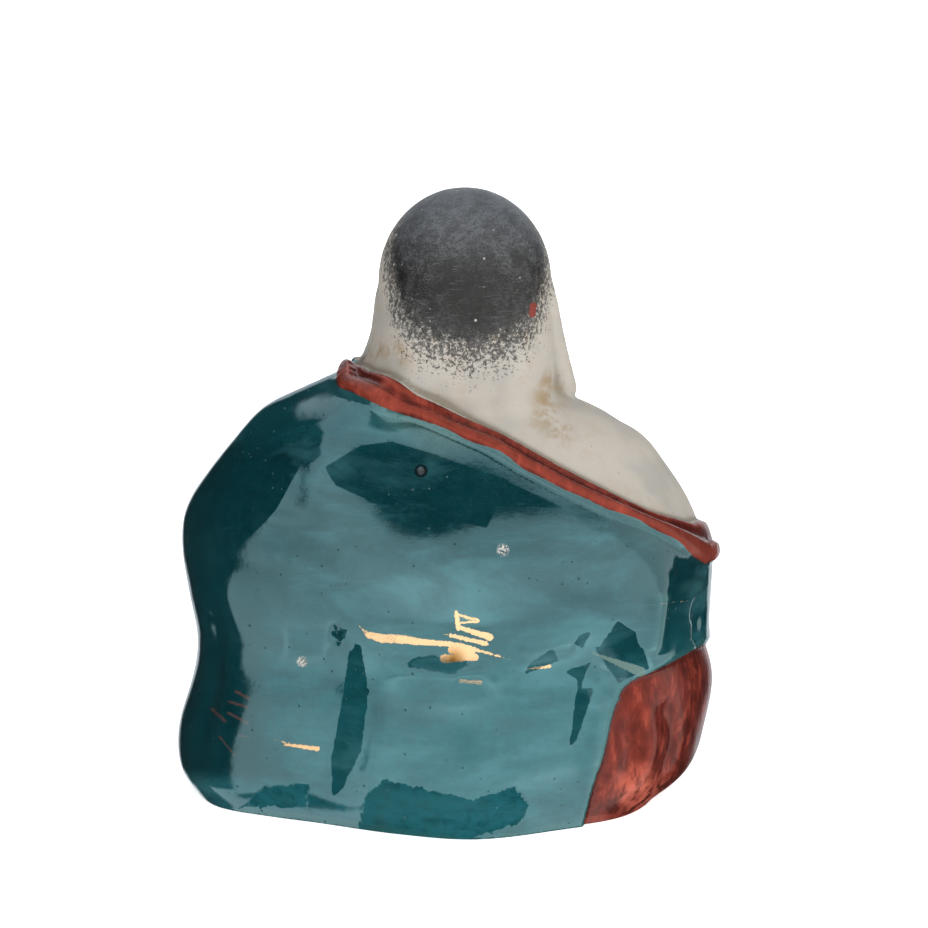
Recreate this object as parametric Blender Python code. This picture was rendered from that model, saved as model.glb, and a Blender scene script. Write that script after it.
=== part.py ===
"""Seated hotei: a small moulded and glazed ceramic figure, made as one solid.

Metres, +Z up. The figure faces -Y and its left hand is towards +X. The origin is on the
flat underside, below the neck.
"""

import math

import bmesh
import bpy
import numpy as np
from mathutils import Matrix, Vector
from mathutils.bvhtree import BVHTree

# Driving sizes, in metres.
FIGURE_HEIGHT = 0.070
COLLAR_WIDTH = 0.0028
COLLAR_ARM_WIDTH = 0.0044
COLLAR_SHOULDER_WIDTH = 0.0040
COLLAR_RISE = 0.0009
ROBE_THICKNESS = 0.0008

# The pose and the carving are written in seventieths of the height, a millimetre each
# at the real size.
UNIT = FIGURE_HEIGHT / 70

# Fineness of the surface, and how far the clay and the glaze soften it.
BULK_VOXEL = UNIT
FINE_VOXEL = UNIT / 2
BULK_RELAX = 6
FINE_RELAX = 3
GLAZE_RELAX = 2
TRIANGLE_BUDGET = 9000

# Outline of the robed body at each height, as points from the left side round the back
# to the right side and then round the front.
BODY_SECTIONS = {
    -2.0: [(26.4, -8), (24.0, 2.1), (18.5, 6.5), (13.6, 9.0), (10.8, 10.7), (4.4, 14.2), (-4, 16.8),
           (-13, 12.8), (-20.0, 7.6), (-23.6, -2.5), (-22, -14), (-12, -20), (0, -21.5),
           (12, -20), (22, -15)],
    0.0: [(27.2, -8), (24.8, 2.6), (18.8, 7.2), (13.6, 9.9), (10.8, 11.6), (4.4, 15.1), (-4, 17.6),
          (-13, 13.3), (-20.6, 8.0), (-24.3, -2.5), (-22.5, -14), (-12, -20), (0, -21.5),
          (12, -20), (22.5, -15)],
    2.5: [(29.2, -8), (26.3, 3.5), (19.0, 8.9), (13.4, 11.8), (10.8, 13.3), (4.6, 16.8), (-4, 18.8),
          (-14.0, 14.3), (-23.0, 9.0), (-27.8, -2.5), (-25, -15), (-12.5, -21), (0, -22.5),
          (12.5, -21), (24, -16)],
    5.0: [(29.5, -7.5), (26.4, 4.1), (18.8, 10.2), (12.8, 13.3), (10.2, 14.8), (4.0, 18.4), (-4, 20.1),
          (-14.3, 15.3), (-24.1, 10.2), (-29.4, -2.5), (-25.6, -15), (-12.5, -20.6), (0, -21.8),
          (12.5, -20.6), (24, -16)],
    8.0: [(29.2, -7), (26.3, 4.6), (18.4, 11.0), (12.0, 14.2), (9.6, 15.7), (3.6, 19.0), (-4, 20.6),
          (-14.5, 16.5), (-24.6, 10.6), (-30.2, -2.5), (-26, -15), (-12.5, -20), (0, -21),
          (12.5, -20), (24, -16)],
    14.0: [(27.4, -5), (24.8, 6.4), (18.2, 12.2), (11.4, 15.4), (9.2, 16.6), (3.0, 19.5), (-4, 20.4),
           (-14.5, 16.6), (-25.0, 11.0), (-31.2, -2), (-26.5, -14), (-12.5, -18), (0, -18),
           (12.5, -18), (23, -15)],
    19.0: [(26.8, -3), (24.6, 7.4), (18.6, 12.4), (12.4, 14.9), (7.8, 17.7), (3, 19.0), (-4, 19.8),
           (-14, 16.3), (-24.4, 11.4), (-29.9, -1.5), (-26, -12), (-12.5, -14), (0, -14),
           (12.5, -14), (23, -13)],
    24.0: [(27.6, -2), (25.2, 9.2), (19.4, 13.8), (14.0, 16.3), (9.6, 18.2), (4, 19.5),
           (-4, 19.8), (-14.4, 17.3), (-24.6, 11.6), (-30.0, -1), (-26.5, -10), (-13, -12), (0, -12),
           (13, -12), (23, -11)],
    30.0: [(28.4, -1), (25.8, 9.8), (19.6, 14.5), (14.0, 16.7), (9.4, 18.3), (4, 19.2),
           (-4, 19.2), (-14.2, 16.6), (-24.6, 10.6), (-30.0, -0.5), (-27, -8), (-13, -11), (0, -11),
           (13, -11), (23.5, -9.5)],
    34.0: [(27.8, -0.5), (25.2, 9.0), (19.4, 13.8), (13.8, 16.0), (9.2, 17.1), (4, 17.5),
           (-4, 17.4), (-13.2, 14.9), (-21.8, 9.6), (-27.4, 0), (-24, -7.5), (-12, -10), (0, -10),
           (12, -10), (23, -8.5)],
    38.0: [(25.2, 0), (23.0, 7.0), (18.2, 12.2), (13.4, 14.6), (8.8, 15.2), (4, 14.9),
           (-4, 14.7), (-12.5, 12.4), (-20.0, 7.4), (-25.2, 0), (-22, -6.5), (-11, -9), (0, -9),
           (11, -9), (21, -7.5)],
    42.0: [(22.0, 0), (20.4, 5.4), (16.6, 10.0), (12.6, 12.6), (8.2, 12.8), (3.6, 12.1),
           (-4, 11.8), (-11.5, 9.8), (-18.0, 6.0), (-22.3, 0), (-19, -5), (-10, -7.5), (0, -8),
           (10, -7.5), (18, -6)],
    45.0: [(19.2, 0), (17.6, 4.0), (14.4, 7.6), (11.2, 9.8), (7.4, 10.4), (3.2, 9.7),
           (-4, 9.2), (-10.2, 7.6), (-15.0, 4.6), (-18.4, 0.2), (-16, -3.5), (-9, -6), (-1, -7),
           (8, -6), (15, -4)],
    47.4: [(14.2, 0), (13.2, 2.6), (11.4, 5.2), (9.2, 7.6), (6.2, 9.2), (2.6, 8.6),
           (-3.6, 8.4), (-8.8, 6.8), (-11.8, 4.0), (-13.6, 0.4), (-12, -2.5), (-8, -5), (-2, -6),
           (5, -5), (11, -3)],
    50.0: [(9.0, -1), (8.4, 1.6), (7.2, 4.4), (5.8, 6.6), (3.8, 8.4), (1.2, 9.2), (-3.4, 9.4),
           (-8.6, 7.8), (-11.8, 4.4), (-13.4, 0.6), (-12, -2.5), (-8.5, -5), (-2.8, -6),
           (2.5, -5), (7, -3.5)],
    54.0: [(7.3, -1), (7.0, 1.6), (6.1, 4.6), (5.0, 6.8), (3.4, 8.4), (0.8, 9.4), (-3.4, 9.6),
           (-8.6, 8.2), (-11.6, 4.6), (-12.8, 0.6), (-11.8, -2.5), (-8.2, -5), (-2.8, -6),
           (2.2, -5), (5.9, -3.5)],
    58.0: [(6.8, -1), (6.5, 1.6), (5.7, 4.6), (4.6, 6.9), (3.0, 8.5), (0.6, 9.5), (-3.4, 9.8),
           (-8.4, 8.2), (-11.2, 4.6), (-12.3, 0.6), (-11.4, -2.5), (-8.0, -5), (-2.8, -6),
           (2, -5), (5.6, -3.5)],
    61.0: [(5.4, -1), (5.2, 1.4), (4.6, 4.0), (3.6, 6.2), (2.2, 7.8), (0.2, 8.8), (-3.2, 9.2),
           (-7.4, 7.6), (-10.0, 4.2), (-11.0, 0.4), (-10.2, -2.5), (-7.2, -5), (-2.8, -6),
           (1.6, -5), (4.4, -3.5)],
}

# Round masses that soften into the body: middle, then half sizes along x, y and z.
BULK_MASSES = {
    "belly": ((-0.8, -11.5, 21.5), (13.8, 12.6, 13.4)),
    "chest": ((-1.5, -4.0, 37.5), (14.0, 9.0, 8.5)),
    "right breast": ((-7.6, -8.6, 35.5), (6.2, 4.4, 4.4)),
    "left breast": ((4.6, -8.6, 35.5), (6.2, 4.4, 4.4)),
    "right knee": ((-18.0, -14.5, 7.5), (9.8, 9.8, 9.2)),
    "left knee": ((18.0, -14.5, 7.5), (9.8, 9.8, 9.2)),
    "lap": ((-0.5, -16.5, 3.8), (19.0, 8.4, 6.2)),
    "skull": ((-2.8, -1.0, 59.4), (9.85, 10.8, 10.7)),
    "jaw": ((-2.4, -3.4, 54.0), (9.7, 9.2, 8.6)),
    "forehead": ((-2.1, -5.3, 61.5), (7.6, 6.2, 6.4)),
    "left cheek": ((3.4, -9.2, 53.9), (4.1, 3.1, 3.7)),
    "right cheek": ((-5.6, -11.1, 53.9), (4.1, 3.1, 3.7)),
    "chin": ((-0.9, -10.7, 49.4), (3.5, 2.5, 2.5)),
    "under chin": ((-1.3, -8.8, 47.3), (6.4, 3.5, 2.8)),
}

# Limbs that soften into the body: x, y, z and radius at each joint.
BULK_LIMBS = {
    "left sleeve": [(13.5, -3.0, 35.0, 7.2), (18.6, -4.5, 30.0, 8.2), (20.0, -7.5, 24.0, 7.6),
                    (19.0, -13.5, 20.0, 6.6), (17.4, -18.0, 18.2, 4.9)],
    "right sleeve": [(-18.0, -2.0, 36.0, 7.8), (-21.2, -3.5, 29.5, 8.4), (-21.4, -6.5, 24.5, 8.0),
                     (-20.0, -12.5, 20.6, 6.8), (-18.2, -17.6, 18.4, 4.9)],
}

# Small forms added after the body has softened.
FACE_YAW = 12
FACE_CENTRE = (-2.6, -3.0, 55.5)
FACE_FORMS = {
    "nose bridge": ((0.0, -8.4, 2.4), (0.95, 1.1, 2.6)),
    "nose tip": ((0.0, -9.6, 0.4), (1.5, 1.4, 1.2)),
    "left nostril": ((1.5, -9.0, 0.1), (1.0, 1.0, 0.9)),
    "right nostril": ((-1.5, -9.0, 0.1), (1.0, 1.0, 0.9)),
    "left eyelid": ((3.7, -7.5, 2.4), (2.1, 1.1, 1.0)),
    "right eyelid": ((-3.7, -7.5, 2.4), (2.1, 1.1, 1.0)),
    "upper lip": ((0.0, -9.1, -2.6), (2.3, 0.9, 0.6)),
    "lower lip": ((0.0, -8.9, -3.7), (1.8, 0.9, 0.65)),
}
EARS = {
    "left ear": [(5.2, -1.8, 60.8, 1.2), (5.6, -1.8, 57.6, 1.7), (6.2, -2.0, 53.8, 1.6),
                 (7.2, -2.2, 51.2, 1.4), (8.4, -2.8, 49.4, 1.1)],
    "right ear": [(-11.2, 0.4, 60.6, 1.2), (-11.6, 0.4, 57.4, 1.6), (-12.4, 0.5, 53.6, 1.55),
                  (-13.3, 0.7, 50.6, 1.35), (-14.2, 0.8, 47.6, 1.25)],
}
HAND_SHIFT = -0.8
HAND = {
    "palm": [(17.2, -18.6, 16.8, 2.9), (16.8, -21.6, 15.0, 3.1), (16.6, -23.0, 13.6, 2.5)],
    "thumb": [(14.4, -20.8, 16.6, 1.3), (12.8, -23.0, 15.6, 1.15)],
    "first finger": [(14.6, -23.6, 14.4, 1.25), (13.8, -25.4, 11.2, 1.1)],
    "second finger": [(16.5, -24.0, 14.0, 1.3), (16.1, -25.8, 10.4, 1.15)],
    "third finger": [(18.4, -23.7, 13.9, 1.25), (18.4, -25.4, 10.6, 1.1)],
    "last finger": [(20.2, -22.9, 14.0, 1.15), (20.5, -24.5, 11.2, 1.0)],
}
FOOT = {
    "sole": ((-2.0, -22.6, 3.6), (6.0, 3.2, 2.7)),
    "big toe": ((4.1, -24.0, 4.2), (1.7, 1.5, 1.4)),
    "toe 2": ((3.9, -23.5, 2.4), (1.3, 1.3, 1.1)),
    "heel": ((-7.4, -22.0, 3.4), (2.6, 2.6, 2.5)),
}

# The back is laid out flat, as it looks from a point behind the figure and above it:
# u runs to the figure's left and v upwards, and a point is carried on to the surface.
SIGHT_ANGLE = 10
SIGHT_DISTANCE = 523
SIGHT_CENTRE = (-2.7, 0.0, 38.8)
SIGHT_FOOT = 38.2

# Neckline: along the back in the flat layout, then along the front as x and z.
NECKLINE_BACK = [(9.2, 47.0), (7.3, 46.5), (4.5, 45.4), (1.1, 43.8), (-2.3, 42.0), (-6.2, 40.3),
                 (-10.1, 38.1), (-14.7, 35.6), (-19.2, 33.4), (-23.7, 31.3), (-27.3, 29.8),
                 (-28.8, 29.2)]
NECKLINE_FRONT = [(-28.5, 28.6), (-26.0, 27.6), (-21.0, 26.4), (-16.4, 25.4), (-12.6, 21.6),
                  (-9.6, 15.0), (-5.0, 11.6), (-0.5, 10.8), (4.0, 11.8), (8.6, 15.6), (11.6, 22.4),
                  (10.4, 30.0), (8.8, 38.0), (8.8, 44.0), (9.0, 47.0)]
HEM_BACK = [(-30.3, 18.4), (-27.0, 16.5), (-23.7, 14.8), (-20.8, 13.3), (-19.4, 10.5),
            (-18.4, 6.5), (-17.1, 2.0), (-15.8, -3.0)]
HEM_FRONT = [(-29.9, 18.6), (-26.0, 17.6), (-20.5, 17.6), (-13.0, 16.0), (-8.0, 11.0), (0.0, 7.6),
             (7.0, 10.6), (11.6, 15.6), (19.4, 17.4), (22.6, 12.0), (23.8, 5.0), (24.4, -2.0)]
SIDE_SPLIT = -1.0

# Corners well clear of the head and of the right shoulder, which close the bare zone.
CLEAR_CORNERS = [(9.0, 90.0), (-60.0, 90.0), (-60.0, 29.0)]

# Folds on the back in the flat layout: height (hollow when negative), half width, path.
BACK_FOLDS = {
    "hip fold": (-0.8, 1.3, [(9.6, 18.4), (9.3, 13.5), (10.2, 7.6), (12.2, 1.5)]),
    "hip fold lip": (0.15, 1.5, [(6.0, 17.0), (5.8, 12.0), (6.6, 6.0), (8.6, 0.5)]),
    "hip dimple": (-0.5, 1.1, [(12.2, 19.4), (10.9, 18.9)]),
    "waist fold": (-0.45, 1.6, [(5.4, 16.7), (1.0, 16.3), (-4.2, 16.0)]),
    "waist roll": (0.3, 2.6, [(8.5, 20.6), (0.0, 20.2), (-8.0, 19.6)]),
    "gather left": (-0.5, 1.1, [(-8.6, 14.0), (-12.0, 15.4), (-15.6, 16.9)]),
    "gather left ridge": (0.4, 1.2, [(-8.0, 16.4), (-12.0, 17.8), (-15.4, 18.6)]),
    "gather top": (-0.5, 1.0, [(-15.4, 17.6), (-16.8, 18.8), (-17.8, 20.2)]),
    "sleeve valley": (-1.2, 1.8, [(-17.2, 16.8), (-19.8, 18.0), (-22.0, 18.2)]),
    "sleeve ridge": (0.6, 1.5, [(-23.4, 16.4), (-24.0, 20.0), (-24.6, 25.0)]),
    "hem tuck": (-0.4, 0.9, [(-17.6, 15.4), (-20.6, 14.4), (-23.8, 15.6)]),
    "gather down": (-0.6, 1.2, [(-16.3, 14.6), (-15.9, 10.0), (-15.2, 5.0)]),
    "gather down ridge": (0.5, 1.4, [(-18.2, 12.6), (-17.6, 8.0), (-16.8, 3.0)]),
    "elbow hollow": (-0.7, 1.5, [(-27.8, 22.8), (-28.6, 20.4), (-27.8, 18.4)]),
    "elbow fold": (-0.6, 1.1, [(-25.8, 25.8), (-27.8, 26.4), (-29.8, 26.0)]),
    "shoulder hollow": (-0.5, 3.2, [(14.6, 42.6), (16.0, 37.0), (17.6, 31.0)]),
    "left side fold": (-0.6, 1.7, [(25.4, 24.0), (24.6, 18.0), (25.2, 12.0), (26.6, 6.0)]),
    "knee furrow": (-0.6, 1.4, [(-25.0, 11.6), (-26.4, 7.6), (-25.0, 2.6)]),
    "knee ridge": (0.4, 1.3, [(-22.8, 11.6), (-23.8, 7.0), (-22.8, 2.0)]),
    "knee furrow inner": (-0.4, 1.0, [(-21.0, 10.0), (-21.6, 5.6), (-20.4, 1.2)]),
}

# Folds on the front, as x and z.
FRONT_FOLDS = {
    "navel": (-1.2, 1.3, [(-1.0, 20.6), (-1.0, 20.0)]),
    "belly crease": (-0.9, 1.2, [(-9.5, 31.6), (-5.0, 30.6), (-1.0, 30.3), (3.5, 30.6),
                                 (8.0, 31.6)]),
    "breast parting": (-0.6, 1.1, [(-1.5, 39.5), (-1.4, 34.0)]),
    "left eye": (-0.45, 0.45, [(-0.4, 57.6), (1.2, 57.0), (2.8, 57.5)]),
    "right eye": (-0.45, 0.45, [(-8.0, 57.5), (-6.6, 57.0), (-5.0, 57.6)]),
    "mouth": (-0.6, 0.5, [(-3.2, 52.6), (-1.4, 52.0), (0.6, 52.6)]),
    "left sleeve a": (-0.8, 1.2, [(22.0, 30.0), (19.6, 25.0), (17.4, 22.0)]),
    "left sleeve b": (-0.7, 1.1, [(24.0, 24.0), (20.6, 20.0), (17.0, 17.6)]),
    "right sleeve a": (-0.8, 1.2, [(-25.0, 25.0), (-21.4, 22.6), (-18.0, 21.4)]),
    "right sleeve b": (-0.7, 1.1, [(-26.0, 20.0), (-22.0, 18.0), (-18.6, 17.2)]),
    "left knee a": (-0.7, 1.3, [(25.6, 14.0), (24.6, 9.0), (25.0, 3.0)]),
    "left knee b": (-0.7, 1.2, [(20.0, 8.0), (18.0, 4.6), (14.4, 2.6)]),
    "right knee a": (-0.7, 1.3, [(-25.2, 13.0), (-23.4, 8.0), (-21.0, 3.6)]),
    "right knee b": (-0.7, 1.2, [(-17.4, 7.6), (-14.4, 5.0), (-10.6, 3.4)]),
    "shin fold": (-0.6, 1.1, [(6.0, 6.6), (9.6, 4.6), (13.0, 1.8)]),
}


def in_metres(point):
    return Vector(point) * UNIT


def smooth_path(stations, steps, closed=False):
    """Catmull-Rom curve through the stations, with this many steps between two of them."""
    keys = np.array(stations, float)
    if closed:
        padded = np.concatenate([keys[-1:], keys, keys[:2]])
    else:
        padded = np.concatenate([2 * keys[:1] - keys[1:2], keys, 2 * keys[-1:] - keys[-2:-1]])
    samples = []
    for a, b, c, d in zip(padded, padded[1:], padded[2:], padded[3:]):
        for t in np.arange(steps) / steps:
            samples.append(0.5 * (2 * b + (c - a) * t + (2 * a - 5 * b + 4 * c - d) * t ** 2
                                  + (3 * b - a - 3 * c + d) * t ** 3))
    if not closed:
        samples.append(keys[-1])
    return np.array(samples)


def add_tube(clay, rings):
    """Closed skin over a list of rings, each ring with the same number of points."""
    loops = [[clay.verts.new(in_metres(point)) for point in ring] for ring in rings]
    count = len(loops[0])
    for lower, upper in zip(loops, loops[1:]):
        for i in range(count):
            j = (i + 1) % count
            clay.faces.new((lower[i], lower[j], upper[j], upper[i]))
    clay.faces.new(reversed(loops[0]))
    clay.faces.new(loops[-1])


def add_body(clay):
    stations = [[(x, y, z) for x, y in outline] for z, outline in BODY_SECTIONS.items()]
    add_tube(clay, [smooth_path(ring, 4, closed=True) for ring in smooth_path(stations, 4)])


def add_ball(clay, centre, radii, frame=Matrix.Identity(4), sides=24, layers=14):
    """Rounded mass with its own half size along each axis."""
    rings = []
    for tilt in math.pi * (np.arange(layers) + 0.5) / layers:
        ring = []
        for turn in np.arange(sides) * 2 * math.pi / sides:
            way = (math.sin(tilt) * math.cos(turn), math.sin(tilt) * math.sin(turn), math.cos(tilt))
            ring.append(frame @ Vector([c + r * w for c, r, w in zip(centre, radii, way)]))
        rings.append(ring)
    add_tube(clay, rings)


def add_limb(clay, stations, sides=20):
    """Tapered round limb with rounded ends."""
    path = smooth_path(stations, 6)
    rings = []
    for (x, y, z, radius), tangent in zip(path, np.gradient(path[:, :3], axis=0)):
        along = Vector(tangent).normalized()
        across = along.cross(Vector((0.3, 0.9, 0.3))).normalized()
        upright = across.cross(along)
        turns = np.arange(sides) * 2 * math.pi / sides
        rings.append([Vector((x, y, z)) + across * (radius * math.cos(turn))
                      + upright * (radius * math.sin(turn)) for turn in turns])
    add_tube(clay, rings)
    for x, y, z, radius in (stations[0], stations[-1]):
        add_ball(clay, (x, y, z), (radius * 0.99,) * 3)


def fused(clay, name, voxel, relax):
    """The shells of the clay merged into one skin, relaxed as soft clay is."""
    bmesh.ops.recalc_face_normals(clay, faces=clay.faces)
    mesh = bpy.data.meshes.new(name)
    clay.to_mesh(mesh)
    clay.free()
    lump = bpy.data.objects.new(name, mesh)
    bpy.context.scene.collection.objects.link(lump)
    merge = lump.modifiers.new("merge", "REMESH")
    merge.mode = "VOXEL"
    merge.voxel_size = voxel
    soften = lump.modifiers.new("soften", "SMOOTH")
    soften.factor = 0.5
    soften.iterations = relax
    graph = bpy.context.evaluated_depsgraph_get()
    result = bpy.data.meshes.new_from_object(lump.evaluated_get(graph))
    bpy.data.objects.remove(lump)
    bpy.data.meshes.remove(mesh)
    return result


def soft_body():
    clay = bmesh.new()
    add_body(clay)
    for centre, radii in BULK_MASSES.values():
        add_ball(clay, centre, radii)
    for stations in BULK_LIMBS.values():
        add_limb(clay, stations)
    return fused(clay, "soft body", BULK_VOXEL, BULK_RELAX)


def modelled_figure():
    """The soft body with the face, the ears, the hands and the foot added."""
    body = soft_body()
    clay = bmesh.new()
    face = Matrix.Translation(FACE_CENTRE) @ Matrix.Rotation(math.radians(FACE_YAW), 4, "Z")
    for centre, radii in FACE_FORMS.values():
        add_ball(clay, centre, radii, face)
    for centre, radii in FOOT.values():
        add_ball(clay, centre, radii)
    for stations in EARS.values():
        add_limb(clay, stations, sides=14)
    for stations in HAND.values():
        add_limb(clay, stations, sides=14)
        add_limb(clay, [(HAND_SHIFT - x, y, z, r) for x, y, z, r in stations], sides=14)
    clay.from_mesh(body)
    bpy.data.meshes.remove(body)
    return fused(clay, "figure", FINE_VOXEL, FINE_RELAX)


def sight_frame():
    """Eye point, centre of the flat layout, and the layout's own two directions."""
    tilt = math.radians(SIGHT_ANGLE)
    centre = np.array(SIGHT_CENTRE)
    eye = centre + SIGHT_DISTANCE * np.array((0.0, math.cos(tilt), math.sin(tilt)))
    up = np.array((0.0, -math.sin(tilt), math.cos(tilt)))
    return eye, centre, up


def laid_flat(points):
    """u and v of the points in the flat layout of the back."""
    eye, centre, up = sight_frame()
    away = centre - eye
    rays = points - eye
    spread = (away @ away) / (rays @ away)
    hits = eye + rays * spread[:, None] - centre
    return hits[:, 0] + SIGHT_CENTRE[0], hits @ up + SIGHT_FOOT


def carried_to_back(tree, path):
    """The path of the flat layout, laid on the surface of the back."""
    eye, centre, up = sight_frame()
    found = []
    for u, v in smooth_path(path, 6):
        target = centre + np.array((u - SIGHT_CENTRE[0], 0.0, 0.0)) + up * (v - SIGHT_FOOT)
        hit = tree.ray_cast(in_metres(eye), Vector(target - eye).normalized())[0]
        if hit is not None:
            found.append(np.array(hit) / UNIT)
    return np.array(found)


def carried_to_front(tree, path):
    """The path given as x and z, laid on the surface of the front."""
    found = []
    for x, z in smooth_path(path, 6):
        hit = tree.ray_cast(in_metres((x, -200, z)), Vector((0, 1, 0)))[0]
        if hit is not None:
            found.append(np.array(hit) / UNIT)
    return np.array(found)


def distance_to_path(points, path, reach):
    """Distance from each point to the path, and how far along the path its foot lies.

    Points further than reach from the box round the path are left at the reach.
    """
    best = np.full(len(points), float(reach))
    along = np.zeros(len(points))
    close = np.all((points > path.min(axis=0) - reach) & (points < path.max(axis=0) + reach), axis=1)
    near = points[close]
    gaps = best[close]
    shares = along[close]
    steps = len(path) - 1
    for i in range(steps):
        start, leg = path[i], path[i + 1] - path[i]
        share = np.clip((near - start) @ leg / max(leg @ leg, 1e-9), 0, 1)
        gap = np.linalg.norm(near - start - share[:, None] * leg, axis=1)
        nearer = gap < gaps
        gaps = np.where(nearer, gap, gaps)
        shares = np.where(nearer, (i + share) / steps, shares)
    best[close] = gaps
    along[close] = shares
    return best, along


def smooth_step(low, high, values):
    t = np.clip((values - low) / (high - low), 0, 1)
    return t * t * (3 - 2 * t)


def inside_outline(x, z, outline):
    """True for each x, z inside the closed outline."""
    inside = np.zeros(len(x), bool)
    for (ax, az), (bx, bz) in zip(outline, outline[1:] + outline[:1]):
        if az != bz:
            crosses = (az > z) != (bz > z)
            inside ^= crosses & (x < (bx - ax) * (z - az) / (bz - az) + ax)
    return inside


def bare_zone(points):
    """True where the skin is bare: above the neckline behind, inside it in front."""
    u, v = laid_flat(points)
    line_u, line_v = np.array(sorted(NECKLINE_BACK)).T
    behind = v > np.interp(u, line_u, line_v)
    opening = NECKLINE_FRONT + CLEAR_CORNERS
    before = inside_outline(points[:, 0], points[:, 2], opening)
    return np.where(points[:, 1] > SIDE_SPLIT, behind, before)


def trouser_zone(points):
    """True where the trousers show: below the hem of the robe."""
    u, v = laid_flat(points)
    line_v, line_u = np.array([(v, u) for u, v in reversed(HEM_BACK)]).T
    behind = (u < np.interp(v, line_v, line_u)) & (v < HEM_BACK[0][1])
    front_x, front_z = np.array(HEM_FRONT).T
    before = (points[:, 2] < np.interp(points[:, 0], front_x, front_z)) & (points[:, 0] < front_x[-1])
    return np.where(points[:, 1] > SIDE_SPLIT, behind, before)


def collar_width(points):
    """Width of the collar: broader where it wraps the bare arm and on the other shoulder."""
    x, y, z = points.T
    over_arm = 1 - smooth_step(-27.5, -22.0, x)
    over_shoulder = smooth_step(2.0, 6.5, x) * smooth_step(38.0, 43.0, z)
    return (COLLAR_WIDTH + over_arm * (COLLAR_ARM_WIDTH - COLLAR_WIDTH)
            + over_shoulder * (COLLAR_SHOULDER_WIDTH - COLLAR_WIDTH))


def carve(mesh):
    """Raises the robe and its collar and presses the folds into the surface."""
    count = len(mesh.vertices)
    flat = np.empty(count * 3)
    mesh.vertices.foreach_get("co", flat)
    points = flat.reshape(-1, 3) / UNIT
    mesh.vertex_normals.foreach_get("vector", flat)
    normals = flat.reshape(-1, 3).copy()
    tree = BVHTree.FromPolygons([v.co for v in mesh.vertices],
                                [tuple(p.vertices) for p in mesh.polygons])
    neck = np.vstack([carried_to_back(tree, NECKLINE_BACK), carried_to_front(tree, NECKLINE_FRONT)])
    neck = np.vstack([neck, neck[:1]])
    hem = np.vstack([carried_to_front(tree, HEM_FRONT)[::-1], carried_to_back(tree, HEM_BACK)])
    neck_gap = distance_to_path(points, neck, 3.0)[0]
    hem_gap = distance_to_path(points, hem, 3.0)[0]
    bare = np.where(bare_zone(points), -neck_gap, neck_gap)
    legs = np.where(trouser_zone(points), -hem_gap, hem_gap)
    robe = smooth_step(-0.4, 0.4, bare) * smooth_step(-0.4, 0.4, legs)
    band = 1 - smooth_step(0.42, 0.62, neck_gap * UNIT / collar_width(points))
    rise = robe * ROBE_THICKNESS / UNIT + band * COLLAR_RISE / UNIT
    for folds, carried in ((BACK_FOLDS, carried_to_back), (FRONT_FOLDS, carried_to_front)):
        for height, half_width, path in folds.values():
            gap, along = distance_to_path(points, carried(tree, path), 3 * half_width)
            ends = smooth_step(0, 0.25, along) * (1 - smooth_step(0.75, 1, along)) + 0.25
            rise += height * np.exp(-(gap / half_width) ** 2) * np.minimum(ends, 1)
    points += normals * rise[:, None]
    mesh.vertices.foreach_set("co", (points * UNIT).ravel())
    mesh.update()


def finish(figure):
    """Relaxes the surface, brings it to the triangle budget and cuts the flat underside."""
    glaze = figure.modifiers.new("glaze", "SMOOTH")
    glaze.factor = 0.5
    glaze.iterations = GLAZE_RELAX
    facets = figure.modifiers.new("facets", "DECIMATE")
    triangles = sum(len(p.vertices) - 2 for p in figure.data.polygons)
    facets.ratio = TRIANGLE_BUDGET / triangles
    facets.use_collapse_triangulate = True
    graph = bpy.context.evaluated_depsgraph_get()
    shaped = bpy.data.meshes.new_from_object(figure.evaluated_get(graph))
    figure.modifiers.clear()
    cut = bmesh.new()
    cut.from_mesh(shaped)
    bmesh.ops.bisect_plane(cut, geom=cut.verts[:] + cut.edges[:] + cut.faces[:], dist=1e-6,
                           plane_co=(0, 0, 0), plane_no=(0, 0, 1), clear_inner=True)
    rim = [edge for edge in cut.edges if edge.is_boundary]
    base = bmesh.ops.contextual_create(cut, geom=rim)["faces"]
    bmesh.ops.triangulate(cut, faces=base)
    bmesh.ops.recalc_face_normals(cut, faces=cut.faces)
    cut.to_mesh(figure.data)
    cut.free()
    bpy.data.meshes.remove(shaped)
    figure.data.shade_smooth()


def glazed_ceramic():
    material = bpy.data.materials.new("glazed ceramic")
    material.use_nodes = True
    shader = material.node_tree.nodes["Principled BSDF"]
    shader.inputs["Base Color"].default_value = (0.02, 0.13, 0.15, 1.0)
    shader.inputs["Roughness"].default_value = 0.12
    shader.inputs["Coat Weight"].default_value = 0.6
    return material


def main():
    for old in list(bpy.data.objects):
        bpy.data.objects.remove(old)
    mesh = modelled_figure()
    carve(mesh)
    figure = bpy.data.objects.new("hotei_figure", mesh)
    bpy.context.scene.collection.objects.link(figure)
    finish(figure)
    figure.data.materials.append(glazed_ceramic())


main()
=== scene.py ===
import math
import bmesh
import bpy
import numpy as np
from mathutils import Matrix, Vector
from mathutils.bvhtree import BVHTree


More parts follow.
